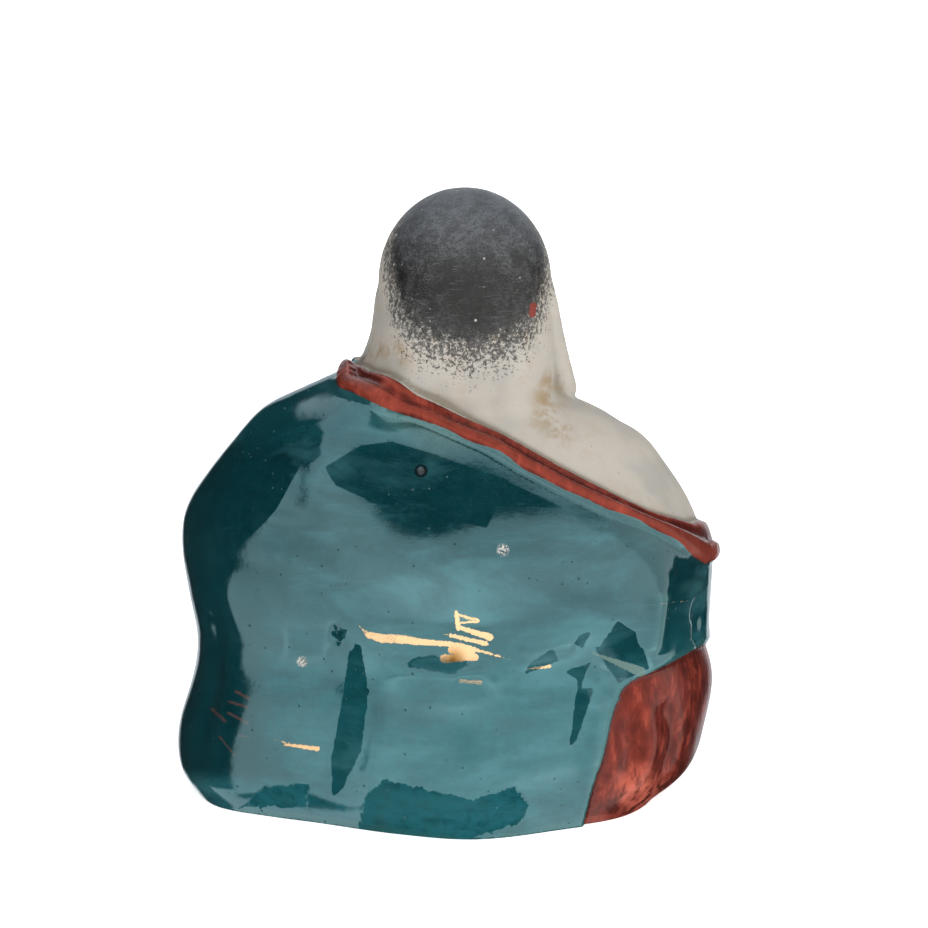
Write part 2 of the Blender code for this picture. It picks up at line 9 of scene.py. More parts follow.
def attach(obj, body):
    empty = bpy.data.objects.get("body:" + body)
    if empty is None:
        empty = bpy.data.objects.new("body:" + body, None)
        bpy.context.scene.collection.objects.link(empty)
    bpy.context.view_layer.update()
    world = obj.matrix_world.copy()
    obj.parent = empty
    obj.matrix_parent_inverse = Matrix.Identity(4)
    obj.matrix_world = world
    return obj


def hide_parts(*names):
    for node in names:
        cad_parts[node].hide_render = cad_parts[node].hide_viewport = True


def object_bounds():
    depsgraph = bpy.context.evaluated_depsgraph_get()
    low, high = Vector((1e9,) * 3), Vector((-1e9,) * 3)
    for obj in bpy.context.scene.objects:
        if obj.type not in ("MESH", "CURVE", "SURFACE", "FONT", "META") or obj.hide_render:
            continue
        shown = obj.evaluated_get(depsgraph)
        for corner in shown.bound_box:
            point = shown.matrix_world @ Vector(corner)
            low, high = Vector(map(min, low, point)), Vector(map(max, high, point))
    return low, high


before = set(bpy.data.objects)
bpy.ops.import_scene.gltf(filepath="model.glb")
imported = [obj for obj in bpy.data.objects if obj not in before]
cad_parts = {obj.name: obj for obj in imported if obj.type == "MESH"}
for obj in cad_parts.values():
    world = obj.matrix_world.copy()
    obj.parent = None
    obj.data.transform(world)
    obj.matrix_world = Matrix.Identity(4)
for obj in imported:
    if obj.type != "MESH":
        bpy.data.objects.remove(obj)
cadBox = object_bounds()
figureHeight = cadBox[1][2] - cadBox[0][2]
mm = figureHeight / 70  # everything below is written in millimetres of the real figure
print("frame loaded, figure is", round(figureHeight * 1000, 1), "mm tall")

# camera: the photograph looks at the back from a little above
camera = {
    "aim": (-2.7, 0.0, 38.8),
    "distance": 523.0,
    "elevation": 10.0,
    "lens": 180.0,
}


def placeCamera(values):
    data = bpy.data.cameras.new("camera")
    data.lens = values["lens"]
    data.clip_start = 0.01
    cam = bpy.data.objects.new("camera", data)
    bpy.context.scene.collection.objects.link(cam)
    tilt = math.radians(values["elevation"])
    away = Vector((0.0, math.cos(tilt), math.sin(tilt)))
    cam.location = (Vector(values["aim"]) + away * values["distance"]) * mm
    cam.rotation_euler = (-away).to_track_quat("-Z", "Y").to_euler()
    bpy.context.scene.camera = cam


placeCamera(camera)
print("camera placed")

# clay: how fine the surface is, how far it is smoothed, and how the robe rises along its seams
clay = {
    "bulkVoxel": 0.8,
    "fineVoxel": 0.40,
    "bulkRelax": 9,
    "fineRelax": 4,
    "glazeRelax": 2,
    "cavitySteps": 14,
    "seamReach": 12.0,
    "seamSoftness": 0.3,
    "robeThickness": 0.8,
}

# body: outline at each height, from the left side round the back to the right and the front
bodySections = {
    -2.0: [(26.4, -8), (24.0, 2.1), (18.5, 6.5), (13.6, 9.0), (10.8, 10.7), (4.4, 14.2), (-4, 16.8),
           (-13, 12.8), (-20.0, 7.6), (-23.6, -2.5), (-22, -14), (-12, -20), (0, -21.5),
           (12, -20), (22, -15)],
    0.0: [(27.2, -8), (24.8, 2.6), (18.8, 7.2), (13.6, 9.9), (10.8, 11.6), (4.4, 15.1), (-4, 17.6),
          (-13, 13.3), (-20.6, 8.0), (-24.3, -2.5), (-22.5, -14), (-12, -20), (0, -21.5),
          (12, -20), (22.5, -15)],
    2.5: [(29.2, -8), (26.3, 3.5), (19.0, 8.9), (13.4, 11.8), (10.8, 13.3), (4.6, 16.8), (-4, 18.8),
          (-14.0, 14.3), (-23.0, 9.0), (-27.8, -2.5), (-25, -15), (-12.5, -21), (0, -22.5),
          (12.5, -21), (24, -16)],
    5.0: [(29.5, -7.5), (26.4, 4.1), (18.8, 10.2), (12.8, 13.3), (10.2, 14.8), (4.0, 18.4), (-4, 20.1),
          (-14.3, 15.3), (-24.1, 10.2), (-29.4, -2.5), (-25.6, -15), (-12.5, -20.6), (0, -21.8),
          (12.5, -20.6), (24, -16)],
    8.0: [(29.2, -7), (26.3, 4.6), (18.4, 11.0), (12.0, 14.2), (9.6, 15.7), (3.6, 19.0), (-4, 20.6),
          (-14.5, 16.5), (-24.6, 10.6), (-30.2, -2.5), (-26, -15), (-12.5, -20), (0, -21),
          (12.5, -20), (24, -16)],
    14.0: [(27.4, -5), (24.8, 6.4), (18.2, 12.2), (11.4, 15.4), (9.2, 16.6), (3.0, 19.5), (-4, 20.4),
           (-14.5, 16.6), (-25.0, 11.0), (-31.2, -2), (-26.5, -14), (-12.5, -18), (0, -18),
           (12.5, -18), (23, -15)],
    19.0: [(26.8, -3), (24.6, 7.4), (18.6, 12.4), (12.4, 14.9), (7.8, 17.7), (3, 19.0), (-4, 19.8),
           (-14, 16.3), (-24.4, 11.4), (-29.9, -1.5), (-26, -12), (-12.5, -14), (0, -14),
           (12.5, -14), (23, -13)],
    24.0: [(27.6, -2), (25.2, 9.2), (19.4, 13.8), (14.0, 16.3), (9.6, 18.2), (4, 19.5),
           (-4, 19.8), (-14.4, 17.3), (-24.6, 11.6), (-30.0, -1), (-26.5, -10), (-13, -12), (0, -12),
           (13, -12), (23, -11)],
    30.0: [(28.4, -1), (25.8, 9.8), (19.6, 14.5), (14.0, 16.7), (9.4, 18.3), (4, 19.2),
           (-4, 19.2), (-14.2, 16.6), (-24.6, 10.6), (-30.0, -0.5), (-27, -8), (-13, -11), (0, -11),
           (13, -11), (23.5, -9.5)],
    34.0: [(27.8, -0.5), (25.2, 9.0), (19.4, 13.8), (13.8, 16.0), (9.2, 17.1), (4, 17.5),
           (-4, 17.4), (-13.2, 14.9), (-21.8, 9.6), (-27.4, 0), (-24, -7.5), (-12, -10), (0, -10),
           (12, -10), (23, -8.5)],
    38.0: [(25.2, 0), (23.0, 7.0), (18.2, 12.2), (13.4, 14.6), (8.8, 15.2), (4, 14.9),
           (-4, 14.7), (-12.5, 12.4), (-20.0, 7.4), (-25.2, 0), (-22, -6.5), (-11, -9), (0, -9),
           (11, -9), (21, -7.5)],
    42.0: [(22.0, 0), (20.4, 5.4), (16.6, 10.0), (12.6, 12.6), (8.2, 12.8), (3.6, 12.1),
           (-4, 11.8), (-11.5, 9.8), (-18.0, 6.0), (-22.3, 0), (-19, -5), (-10, -7.5), (0, -8),
           (10, -7.5), (18, -6)],
    45.0: [(19.2, 0), (17.6, 4.0), (14.4, 7.6), (11.2, 9.8), (7.4, 10.4), (3.2, 9.7),
           (-4, 9.2), (-10.2, 7.6), (-15.0, 4.6), (-18.4, 0.2), (-16, -3.5), (-9, -6), (-1, -7),
           (8, -6), (15, -4)],
    47.4: [(14.2, 0), (13.2, 2.6), (11.4, 5.2), (9.2, 7.6), (6.2, 9.2), (2.6, 8.6),
           (-3.6, 8.4), (-8.8, 6.8), (-11.8, 4.0), (-13.6, 0.4), (-12, -2.5), (-8, -5), (-2, -6),
           (5, -5), (11, -3)],
    50.0: [(9.0, -1), (8.4, 1.6), (7.2, 4.4), (5.8, 6.6), (3.8, 8.4), (1.2, 9.2), (-3.4, 9.4),
           (-8.6, 7.8), (-11.8, 4.4), (-13.4, 0.6), (-12, -2.5), (-8.5, -5), (-2.8, -6),
           (2.5, -5), (7, -3.5)],
    54.0: [(7.3, -1), (7.0, 1.6), (6.1, 4.6), (5.0, 6.8), (3.4, 8.4), (0.8, 9.4), (-3.4, 9.6),
           (-8.6, 8.2), (-11.6, 4.6), (-12.8, 0.6), (-11.8, -2.5), (-8.2, -5), (-2.8, -6),
           (2.2, -5), (5.9, -3.5)],
    58.0: [(6.8, -1), (6.5, 1.6), (5.7, 4.6), (4.6, 6.9), (3.0, 8.5), (0.6, 9.5), (-3.4, 9.8),
           (-8.4, 8.2), (-11.2, 4.6), (-12.3, 0.6), (-11.4, -2.5), (-8.0, -5), (-2.8, -6),
           (2, -5), (5.6, -3.5)],
    61.0: [(5.4, -1), (5.2, 1.4), (4.6, 4.0), (3.6, 6.2), (2.2, 7.8), (0.2, 8.8), (-3.2, 9.2),
           (-7.4, 7.6), (-10.0, 4.2), (-11.0, 0.4), (-10.2, -2.5), (-7.2, -5), (-2.8, -6),
           (1.6, -5), (4.4, -3.5)],
}

# masses that soften into the body: middle, then half sizes along x, y and z
bulkMasses = {
    "belly": ((-0.8, -11.5, 21.5), (13.8, 12.6, 13.4)),
    "chest": ((-1.5, -4.0, 37.5), (14.0, 9.0, 8.5)),
    "rightBreast": ((-7.6, -8.6, 35.5), (6.2, 4.4, 4.4)),
    "leftBreast": ((4.6, -8.6, 35.5), (6.2, 4.4, 4.4)),
    "rightKnee": ((-18.0, -14.5, 7.5), (9.8, 9.8, 9.2)),
    "leftKnee": ((18.0, -14.5, 7.5), (9.8, 9.8, 9.2)),
    "lap": ((-0.5, -16.5, 3.8), (19.0, 8.4, 6.2)),
    "skull": ((-2.8, -1.0, 59.4), (9.85, 10.8, 10.7)),
    "jaw": ((-2.4, -3.4, 54.0), (9.7, 9.2, 8.6)),
    "forehead": ((-2.1, -5.3, 61.5), (7.6, 6.2, 6.4)),
    "leftCheek": ((3.4, -9.2, 53.9), (4.1, 3.1, 3.7)),
    "rightCheek": ((-5.6, -11.1, 53.9), (4.1, 3.1, 3.7)),
    "chin": ((-0.9, -10.7, 49.4), (3.5, 2.5, 2.5)),
    "underChin": ((-1.3, -8.8, 47.3), (6.4, 3.5, 2.8)),
}

# limbs: x, y, z and radius at each joint
bulkLimbs = {
    "leftSleeve": [(13.5, -3.0, 35.0, 7.2), (18.6, -4.5, 30.0, 8.2), (20.0, -7.5, 24.0, 7.6),
                   (19.0, -13.5, 20.0, 6.6), (17.4, -18.0, 18.2, 4.9)],
    "rightSleeve": [(-18.0, -2.0, 36.0, 7.8), (-21.2, -3.5, 29.5, 8.4), (-21.4, -6.5, 24.5, 8.0),
                    (-20.0, -12.5, 20.6, 6.8), (-18.2, -17.6, 18.4, 4.9)],
}

# head: small forms on the face, placed in the face's own directions
head = {
    "faceTurn": 12.0,
    "faceCentre": (-2.6, -3.0, 55.5),
    "faceForms": {
        "noseBridge": ((0.0, -8.4, 2.4), (0.95, 1.1, 2.6)),
        "noseTip": ((0.0, -9.6, 0.4), (1.5, 1.4, 1.2)),
        "leftNostril": ((1.5, -9.0, 0.1), (1.0, 1.0, 0.9)),
        "rightNostril": ((-1.5, -9.0, 0.1), (1.0, 1.0, 0.9)),
        "leftEyelid": ((3.7, -7.5, 2.4), (2.1, 1.1, 1.0)),
        "rightEyelid": ((-3.7, -7.5, 2.4), (2.1, 1.1, 1.0)),
        "upperLip": ((0.0, -9.1, -2.6), (2.3, 0.9, 0.6)),
        "lowerLip": ((0.0, -8.9, -3.7), (1.8, 0.9, 0.65)),
    },
    "ears": {
        "left": [(5.2, -1.8, 60.8, 1.2), (5.6, -1.8, 57.6, 1.7), (6.2, -2.0, 53.8, 1.6),
                 (7.2, -2.2, 51.2, 1.4), (8.4, -2.8, 49.4, 1.1)],
        "right": [(-11.2, 0.4, 60.6, 1.2), (-11.6, 0.4, 57.4, 1.6), (-12.4, 0.5, 53.6, 1.55),
                  (-13.3, 0.7, 50.6, 1.35), (-14.2, 0.8, 47.6, 1.25)],
    },
}

# hands: the left one is written, the right one mirrors it about half of shift
hands = {
    "shift": -0.8,
    "limbs": {
        "palm": [(17.2, -18.6, 16.8, 2.9), (16.8, -21.6, 15.0, 3.1), (16.6, -23.0, 13.6, 2.5)],
        "thumb": [(14.4, -20.8, 16.6, 1.3), (12.8, -23.0, 15.6, 1.15)],
        "firstFinger": [(14.6, -23.6, 14.4, 1.25), (13.8, -25.4, 11.2, 1.1)],
        "secondFinger": [(16.5, -24.0, 14.0, 1.3), (16.1, -25.8, 10.4, 1.15)],
        "thirdFinger": [(18.4, -23.7, 13.9, 1.25), (18.4, -25.4, 10.6, 1.1)],
        "lastFinger": [(20.2, -22.9, 14.0, 1.15), (20.5, -24.5, 11.2, 1.0)],
    },
}

foot = {
    "sole": ((-2.0, -22.6, 3.6), (6.0, 3.2, 2.7)),
    "bigToe": ((4.1, -24.0, 4.2), (1.7, 1.5, 1.4)),
    "secondToe": ((3.9, -23.5, 2.4), (1.3, 1.3, 1.1)),
    "heel": ((-7.4, -22.0, 3.4), (2.6, 2.6, 2.5)),
}

# layout: the back drawn flat as the camera sees it, u to the figure's left and v upwards, where the
# back gives way to the front, and how far off a hand or the foot is measured
layout = {
    "foot": 38.2,
    "sideSplit": -1.0,
    "skinReach": 3.0,
}

# collar: the neckline on the back (u, v) and on the front (x, z)
collar = {
    "width": 2.8,
    "armWidth": 4.4,
    "shoulderWidth": 4.0,
    "rise": 0.9,
    "back": [(9.2, 47.0), (7.3, 46.5), (4.5, 45.4), (1.1, 43.8), (-2.3, 42.0), (-6.2, 40.3),
             (-10.1, 38.1), (-14.7, 35.6), (-19.2, 33.4), (-23.7, 31.3), (-27.3, 29.8),
             (-28.8, 29.2)],
    "front": [(-28.5, 28.6), (-26.0, 27.6), (-21.0, 26.4), (-16.4, 25.4), (-12.6, 21.6),
              (-9.6, 15.0), (-5.0, 11.6), (-0.5, 10.8), (4.0, 11.8), (8.6, 15.6), (11.6, 22.4),
              (10.4, 30.0), (8.8, 38.0), (8.8, 44.0), (9.0, 47.0)],
    "clearCorners": [(9.0, 90.0), (-60.0, 90.0), (-60.0, 29.0)],
}

# hem of the robe over the trousers
hem = {
    "back": [(-30.3, 18.4), (-27.0, 16.5), (-23.7, 14.8), (-20.8, 13.3), (-19.4, 10.5),
             (-18.4, 6.5), (-17.1, 2.0), (-15.8, -3.0)],
    "front": [(-29.9, 18.6), (-26.0, 17.6), (-20.5, 17.6), (-13.0, 16.0), (-8.0, 11.0), (0.0, 7.6),
              (7.0, 10.6), (11.6, 15.6), (19.4, 17.4), (22.6, 12.0), (23.8, 5.0), (24.4, -2.0)],
}

# folds: height (a hollow when negative), half width, path in the flat layout
backFolds = {
    "hipFoldLip": (0.15, 1.5, [(6.0, 17.0), (5.8, 12.0), (6.6, 6.0), (8.6, 0.5)]),
    "hipDimple": (-0.5, 1.1, [(12.2, 19.4), (10.9, 18.9)]),
    "waistRoll": (0.3, 2.6, [(8.5, 20.6), (0.0, 20.2), (-8.0, 19.6)]),
    "gatherLeftRidge": (0.4, 1.2, [(-8.0, 16.4), (-12.0, 17.8), (-15.4, 18.6)]),
    "sleeveRidge": (0.6, 1.5, [(-23.4, 16.4), (-24.0, 20.0), (-24.6, 25.0)]),
    "hemTuck": (-0.4, 0.9, [(-17.6, 15.4), (-20.6, 14.4), (-23.8, 15.6)]),
    "gatherDownRidge": (0.5, 1.4, [(-18.2, 12.6), (-17.6, 8.0), (-16.8, 3.0)]),
    "elbowHollow": (-0.7, 1.5, [(-27.8, 22.8), (-28.6, 20.4), (-27.8, 18.4)]),
    "elbowFold": (-0.6, 1.1, [(-25.8, 25.8), (-27.8, 26.4), (-29.8, 26.0)]),
    "shoulderHollow": (-0.5, 3.2, [(14.6, 42.6), (16.0, 37.0), (17.6, 31.0)]),
    "leftSideFold": (-0.6, 1.7, [(25.4, 24.0), (24.6, 18.0), (25.2, 12.0), (26.6, 6.0)]),
    "kneeFurrow": (-0.6, 1.4, [(-25.0, 11.6), (-26.4, 7.6), (-25.0, 2.6)]),
    "kneeRidge": (0.4, 1.3, [(-22.8, 11.6), (-23.8, 7.0), (-22.8, 2.0)]),
    "kneeFurrowInner": (-0.4, 1.0, [(-21.0, 10.0), (-21.6, 5.6), (-20.4, 1.2)]),
}

# pleats: depth, width to the left and to the right of the path as it runs, path in the flat layout
pleats = {
    "goldHollow": (0.9, 3.4, 2.4, [(6.4, 14.8), (1.2, 14.3), (-3.6, 14.5), (-6.0, 15.2)]),
}

# folds on the front, path as x and z
frontFolds = {
    "navel": (-1.2, 1.3, [(-1.0, 20.6), (-1.0, 20.0)]),
    "bellyCrease": (-0.9, 1.2, [(-9.5, 31.6), (-5.0, 30.6), (-1.0, 30.3), (3.5, 30.6), (8.0, 31.6)]),
    "breastParting": (-0.6, 1.1, [(-1.5, 39.5), (-1.4, 34.0)]),
    "leftEye": (-0.45, 0.45, [(-0.4, 57.6), (1.2, 57.0), (2.8, 57.5)]),
    "rightEye": (-0.45, 0.45, [(-8.0, 57.5), (-6.6, 57.0), (-5.0, 57.6)]),
    "mouth": (-0.6, 0.5, [(-3.2, 52.6), (-1.4, 52.0), (0.6, 52.6)]),
    "leftSleeveA": (-0.8, 1.2, [(22.0, 30.0), (19.6, 25.0), (17.4, 22.0)]),
    "leftSleeveB": (-0.7, 1.1, [(24.0, 24.0), (20.6, 20.0), (17.0, 17.6)]),
    "rightSleeveA": (-0.8, 1.2, [(-25.0, 25.0), (-21.4, 22.6), (-18.0, 21.4)]),
    "rightSleeveB": (-0.7, 1.1, [(-26.0, 20.0), (-22.0, 18.0), (-18.6, 17.2)]),
    "leftKneeA": (-0.7, 1.3, [(25.6, 14.0), (24.6, 9.0), (25.0, 3.0)]),
    "leftKneeB": (-0.7, 1.2, [(20.0, 8.0), (18.0, 4.6), (14.4, 2.6)]),
    "rightKneeA": (-0.7, 1.3, [(-25.2, 13.0), (-23.4, 8.0), (-21.0, 3.6)]),
    "rightKneeB": (-0.7, 1.2, [(-17.4, 7.6), (-14.4, 5.0), (-10.6, 3.4)]),
    "shinFold": (-0.6, 1.1, [(6.0, 6.6), (9.6, 4.6), (13.0, 1.8)]),
}


def smoothPath(stations, steps, closed=False):
    keys = np.array(stations, float)
    if closed:
        padded = np.concatenate([keys[-1:], keys, keys[:2]])
    else:
        padded = np.concatenate([2 * keys[:1] - keys[1:2], keys, 2 * keys[-1:] - keys[-2:-1]])
    samples = []
    for a, b, c, d in zip(padded, padded[1:], padded[2:], padded[3:]):
        for t in np.arange(steps) / steps:
            samples.append(0.5 * (2 * b + (c - a) * t + (2 * a - 5 * b + 4 * c - d) * t ** 2
                                  + (3 * b - a - 3 * c + d) * t ** 3))
    if not closed:
        samples.append(keys[-1])
    return np.array(samples)


def addTube(lump, rings):
    loops = [[lump.verts.new(Vector(point) * mm) for point in ring] for ring in rings]
    count = len(loops[0])
    for lower, upper in zip(loops, loops[1:]):
        for i in range(count):
            j = (i + 1) % count
            lump.faces.new((lower[i], lower[j], upper[j], upper[i]))
    lump.faces.new(reversed(loops[0]))
    lump.faces.new(loops[-1])


def addBody(lump):
    stations = [[(x, y, z) for x, y in outline] for z, outline in bodySections.items()]
    addTube(lump, [smoothPath(ring, 5, closed=True) for ring in smoothPath(stations, 5)])


def addBall(lump, centre, radii, place=Matrix.Identity(4), sides=32, layers=20):
    rings = []
    for tilt in math.pi * (np.arange(layers) + 0.5) / layers:
        ring = []
        for turn in np.arange(sides) * 2 * math.pi / sides:
            way = (math.sin(tilt) * math.cos(turn), math.sin(tilt) * math.sin(turn), math.cos(tilt))
            ring.append(place @ Vector([c + r * w for c, r, w in zip(centre, radii, way)]))
        rings.append(ring)
    addTube(lump, rings)


def addLimb(lump, stations, sides=20):
    path = smoothPath(stations, 6)
    rings = []
    for (x, y, z, radius), tangent in zip(path, np.gradient(path[:, :3], axis=0)):
        along = Vector(tangent).normalized()
        across = along.cross(Vector((0.3, 0.9, 0.3))).normalized()
        upright = across.cross(along)
        turns = np.arange(sides) * 2 * math.pi / sides
        rings.append([Vector((x, y, z)) + across * (radius * math.cos(turn))
                      + upright * (radius * math.sin(turn)) for turn in turns])
    addTube(lump, rings)
    for x, y, z, radius in (stations[0], stations[-1]):
        addBall(lump, (x, y, z), (radius * 0.99,) * 3, sides=20, layers=12)


def fused(lump, name, voxel, relax):
    # every shell becomes one skin, softened the way slip fills a mould
    bmesh.ops.recalc_face_normals(lump, faces=lump.faces)
    mesh = bpy.data.meshes.new(name)
    lump.to_mesh(mesh)
    lump.free()
    holder = bpy.data.objects.new(name, mesh)
    bpy.context.scene.collection.objects.link(holder)
    merge = holder.modifiers.new("merge", "REMESH")
    merge.mode = "VOXEL"
    merge.voxel_size = voxel * mm
    soften = holder.modifiers.new("soften", "SMOOTH")
    soften.factor = 0.5
    soften.iterations = relax
    graph = bpy.context.evaluated_depsgraph_get()
    result = bpy.data.meshes.new_from_object(holder.evaluated_get(graph))
    bpy.data.objects.remove(holder)
    bpy.data.meshes.remove(mesh)
    return result


def softBody():
    lump = bmesh.new()
    addBody(lump)
    for centre, radii in bulkMasses.values():
        addBall(lump, centre, radii)
    for stations in bulkLimbs.values():
        addLimb(lump, stations)
    return fused(lump, "softBody", clay["bulkVoxel"], clay["bulkRelax"])


def modelledFigure():
    body = softBody()
    lump = bmesh.new()
    place = Matrix.Translation(head["faceCentre"])
    place = place @ Matrix.Rotation(math.radians(head["faceTurn"]), 4, "Z")
    for centre, radii in head["faceForms"].values():
        addBall(lump, centre, radii, place)
    for centre, radii in foot.values():
        addBall(lump, centre, radii)
    for stations in head["ears"].values():
        addLimb(lump, stations)
    for stations in hands["limbs"].values():
        addLimb(lump, stations)
        addLimb(lump, [(hands["shift"] - x, y, z, r) for x, y, z, r in stations])
    lump.from_mesh(body)
    bpy.data.meshes.remove(body)
    return fused(lump, "hotei", clay["fineVoxel"], clay["fineRelax"])


def sightFrame():
    tilt = math.radians(camera["elevation"])
    centre = np.array(camera["aim"])
    eye = centre + camera["distance"] * np.array((0.0, math.cos(tilt), math.sin(tilt)))
    up = np.array((0.0, -math.sin(tilt), math.cos(tilt)))
    return eye, centre, up


def laidFlat(points):
    eye, centre, up = sightFrame()
    away = centre - eye
    rays = points - eye
    spread = (away @ away) / (rays @ away)
    hits = eye + rays * spread[:, None] - centre
    return hits[:, 0] + centre[0], hits @ up + layout["foot"]


def carriedToBack(tree, path):
    eye, centre, up = sightFrame()
    found = []
    for u, v in smoothPath(path, 6):
        target = centre + np.array((u - centre[0], 0.0, 0.0)) + up * (v - layout["foot"])
        hit = tree.ray_cast(Vector(eye) * mm, Vector(target - eye).normalized())[0]
        if hit is not None:
            found.append(np.array(hit) / mm)
    return np.array(found)


def carriedToFront(tree, path):
    found = []
    for x, z in smoothPath(path, 6):
        hit = tree.ray_cast(Vector((x, -200, z)) * mm, Vector((0, 1, 0)))[0]
        if hit is not None:
            found.append(np.array(hit) / mm)
    return np.array(found)


def distanceToPath(points, path, reach):
    # distance to the path and the share of the path where its nearest point lies
    best = np.full(len(points), float(reach))
    along = np.zeros(len(points))
    close = np.all((points > path.min(axis=0) - reach) & (points < path.max(axis=0) + reach), axis=1)
    near = points[close]
    gaps = best[close]
    shares = along[close]
    steps = len(path) - 1
    for i in range(steps):
        start, leg = path[i], path[i + 1] - path[i]
        share = np.clip((near - start) @ leg / max(leg @ leg, 1e-9), 0, 1)
        gap = np.linalg.norm(near - start - share[:, None] * leg, axis=1)
        nearer = gap < gaps
        gaps = np.where(nearer, gap, gaps)
        shares = np.where(nearer, (i + share) / steps, shares)
    best[close] = gaps
    along[close] = shares
    return best, along


def pleatDepth(u, v, depth, leftWidth, rightWidth, stations):
    # a crease with a wall of its own width on each side, shallower towards both ends
    path = smoothPath(stations, 6)
    reach = max(leftWidth, rightWidth)
    best = np.full(len(u), reach * 1.5)
    side = np.ones(len(u))
    along = np.zeros(len(u))
    steps = len(path) - 1
    for i in range(steps):
        (au, av), (bu, bv) = path[i], path[i + 1]
        du, dv = bu - au, bv - av
        share = np.clip(((u - au) * du + (v - av) * dv) / (du * du + dv * dv), 0, 1)
        gap = np.hypot(u - au - share * du, v - av - share * dv)
        turn = np.where(du * (v - av) - dv * (u - au) > 0, 1.0, -1.0)
        nearer = gap < best
        best = np.where(nearer, gap, best)
        side = np.where(nearer, turn, side)
        along = np.where(nearer, (i + share) / steps, along)
    width = np.where(side > 0, leftWidth, rightWidth)
    fall = np.clip(1 - best / width, 0, 1)
    ends = smoothStep(-0.12, 0.22, along) * (1 - smoothStep(0.72, 1.0, along))
    return -depth * fall ** 1.15 * ends


def smoothStep(low, high, values):
    t = np.clip((values - low) / (high - low), 0, 1)
    return t * t * (3 - 2 * t)


def insideOutline(x, z, outline):
    inside = np.zeros(len(x), bool)
    for (ax, az), (bx, bz) in zip(outline, outline[1:] + outline[:1]):
        if az != bz:
            crosses = (az > z) != (bz > z)
            inside ^= crosses & (x < (bx - ax) * (z - az) / (bz - az) + ax)
    return inside


def bareZone(points):
    u, v = laidFlat(points)
    lineU, lineV = np.array(sorted(collar["back"])).T
    behind = (v > np.interp(u, lineU, lineV)) & (u < lineU[-1])
    opening = collar["front"] + collar["clearCorners"]
    before = insideOutline(points[:, 0], points[:, 2], opening)
    return np.where(points[:, 1] > layout["sideSplit"], behind, before)


def trouserZone(points):
    u, v = laidFlat(points)
    lineV, lineU = np.array([(v, u) for u, v in reversed(hem["back"])]).T
    behind = (u < np.interp(v, lineV, lineU)) & (v < hem["back"][0][1])
    frontX, frontZ = np.array(hem["front"]).T
    before = (points[:, 2] < np.interp(points[:, 0], frontX, frontZ)) & (points[:, 0] < frontX[-1])
    return np.where(points[:, 1] > layout["sideSplit"], behind, before)


def collarWidth(points):
    # the band broadens where it wraps the bare arm and at the top of the other shoulder
    x, _, z = points.T
    overArm = 1 - smoothStep(-27.5, -22.0, x)
    overShoulder = smoothStep(2.0, 6.5, x) * smoothStep(38.0, 43.0, z)
    return (collar["width"] + overArm * (collar["armWidth"] - collar["width"])
            + overShoulder * (collar["shoulderWidth"] - collar["width"]))


def handDistance(points):
    # distance outside the surface of the nearest hand limb, negative inside it
    nearest = np.full(len(points), layout["skinReach"])
    for stations in hands["limbs"].values():
        for side in (1, -1):
            x0 = 0 if side == 1 else hands["shift"]
            path = np.array([(x0 + side * x, y, z) for x, y, z, r in stations])
            radius = max(r for x, y, z, r in stations)
            gap = distanceToPath(points, path, radius + layout["skinReach"])[0] - radius
            nearest = np.minimum(nearest, gap)
    return nearest


def footDistance(points):
    # rough distance outside the foot's own forms, negative inside them
    nearest = np.full(len(points), layout["skinReach"])
    for centre, radii in foot.values():
        reach = np.linalg.norm((points - np.array(centre)) / np.array(radii), axis=1)
        nearest = np.minimum(nearest, (reach - 1) * min(radii))
    return nearest


# hair: a cap round a leaning axis, its edge as an angle from that axis at the back and the front
hair = {
    "centre": (-2.8, -0.4, 59.2),
    "radii": (9.85, 10.6, 10.7),
    "turn": 6.0,
    "lean": 37.0,
    "backEdge": 66.0,
    "frontEdge": 82.0,
    "scale": 10.2,
    "lowest": 46.0,
}


def hairDistance(points):
    # millimetres inside the edge of the hair, negative outside it
    turn, lean = math.radians(hair["turn"]), math.radians(hair["lean"])
    rear = np.array((-math.sin(turn), math.cos(turn), 0.0))
    axis = rear * math.cos(lean) + np.array((0.0, 0.0, math.sin(lean)))
    ways = (points - np.array(hair["centre"])) / np.array(hair["radii"])
    ways /= np.maximum(np.linalg.norm(ways, axis=1), 1e-6)[:, None]
    angle = np.degrees(np.arccos(np.clip(ways @ axis, -1, 1)))
    ahead = smoothStep(-0.1, 0.6, -(ways @ rear))
    edge = hair["backEdge"] + (hair["frontEdge"] - hair["backEdge"]) * ahead
    inside = np.radians(edge - angle) * hair["scale"]
    return np.where(points[:, 2] > hair["lowest"], np.clip(inside, -8, 12), -8.0)


def handWobble(points, size, amount):
    # slow unevenness of a hand-painted edge
    x, y, z = (points / size).T
    waves = [np.sin(1.9 * x + 0.7 * z + 1.3), np.sin(1.3 * y - 2.1 * z + 0.4),
             np.sin(2.7 * z + 1.6 * x + 2.2)]
    return amount * sum(waves) / 3


def readVectors(collection, key):
    flat = np.empty(len(collection) * 3)
    collection.foreach_get(key, flat)
    return flat.reshape(-1, 3).copy()


def storeField(mesh, name, values):
    field = mesh.attributes.new(name, "FLOAT", "POINT")
    field.data.foreach_set("value", np.asarray(values, dtype=np.float32))


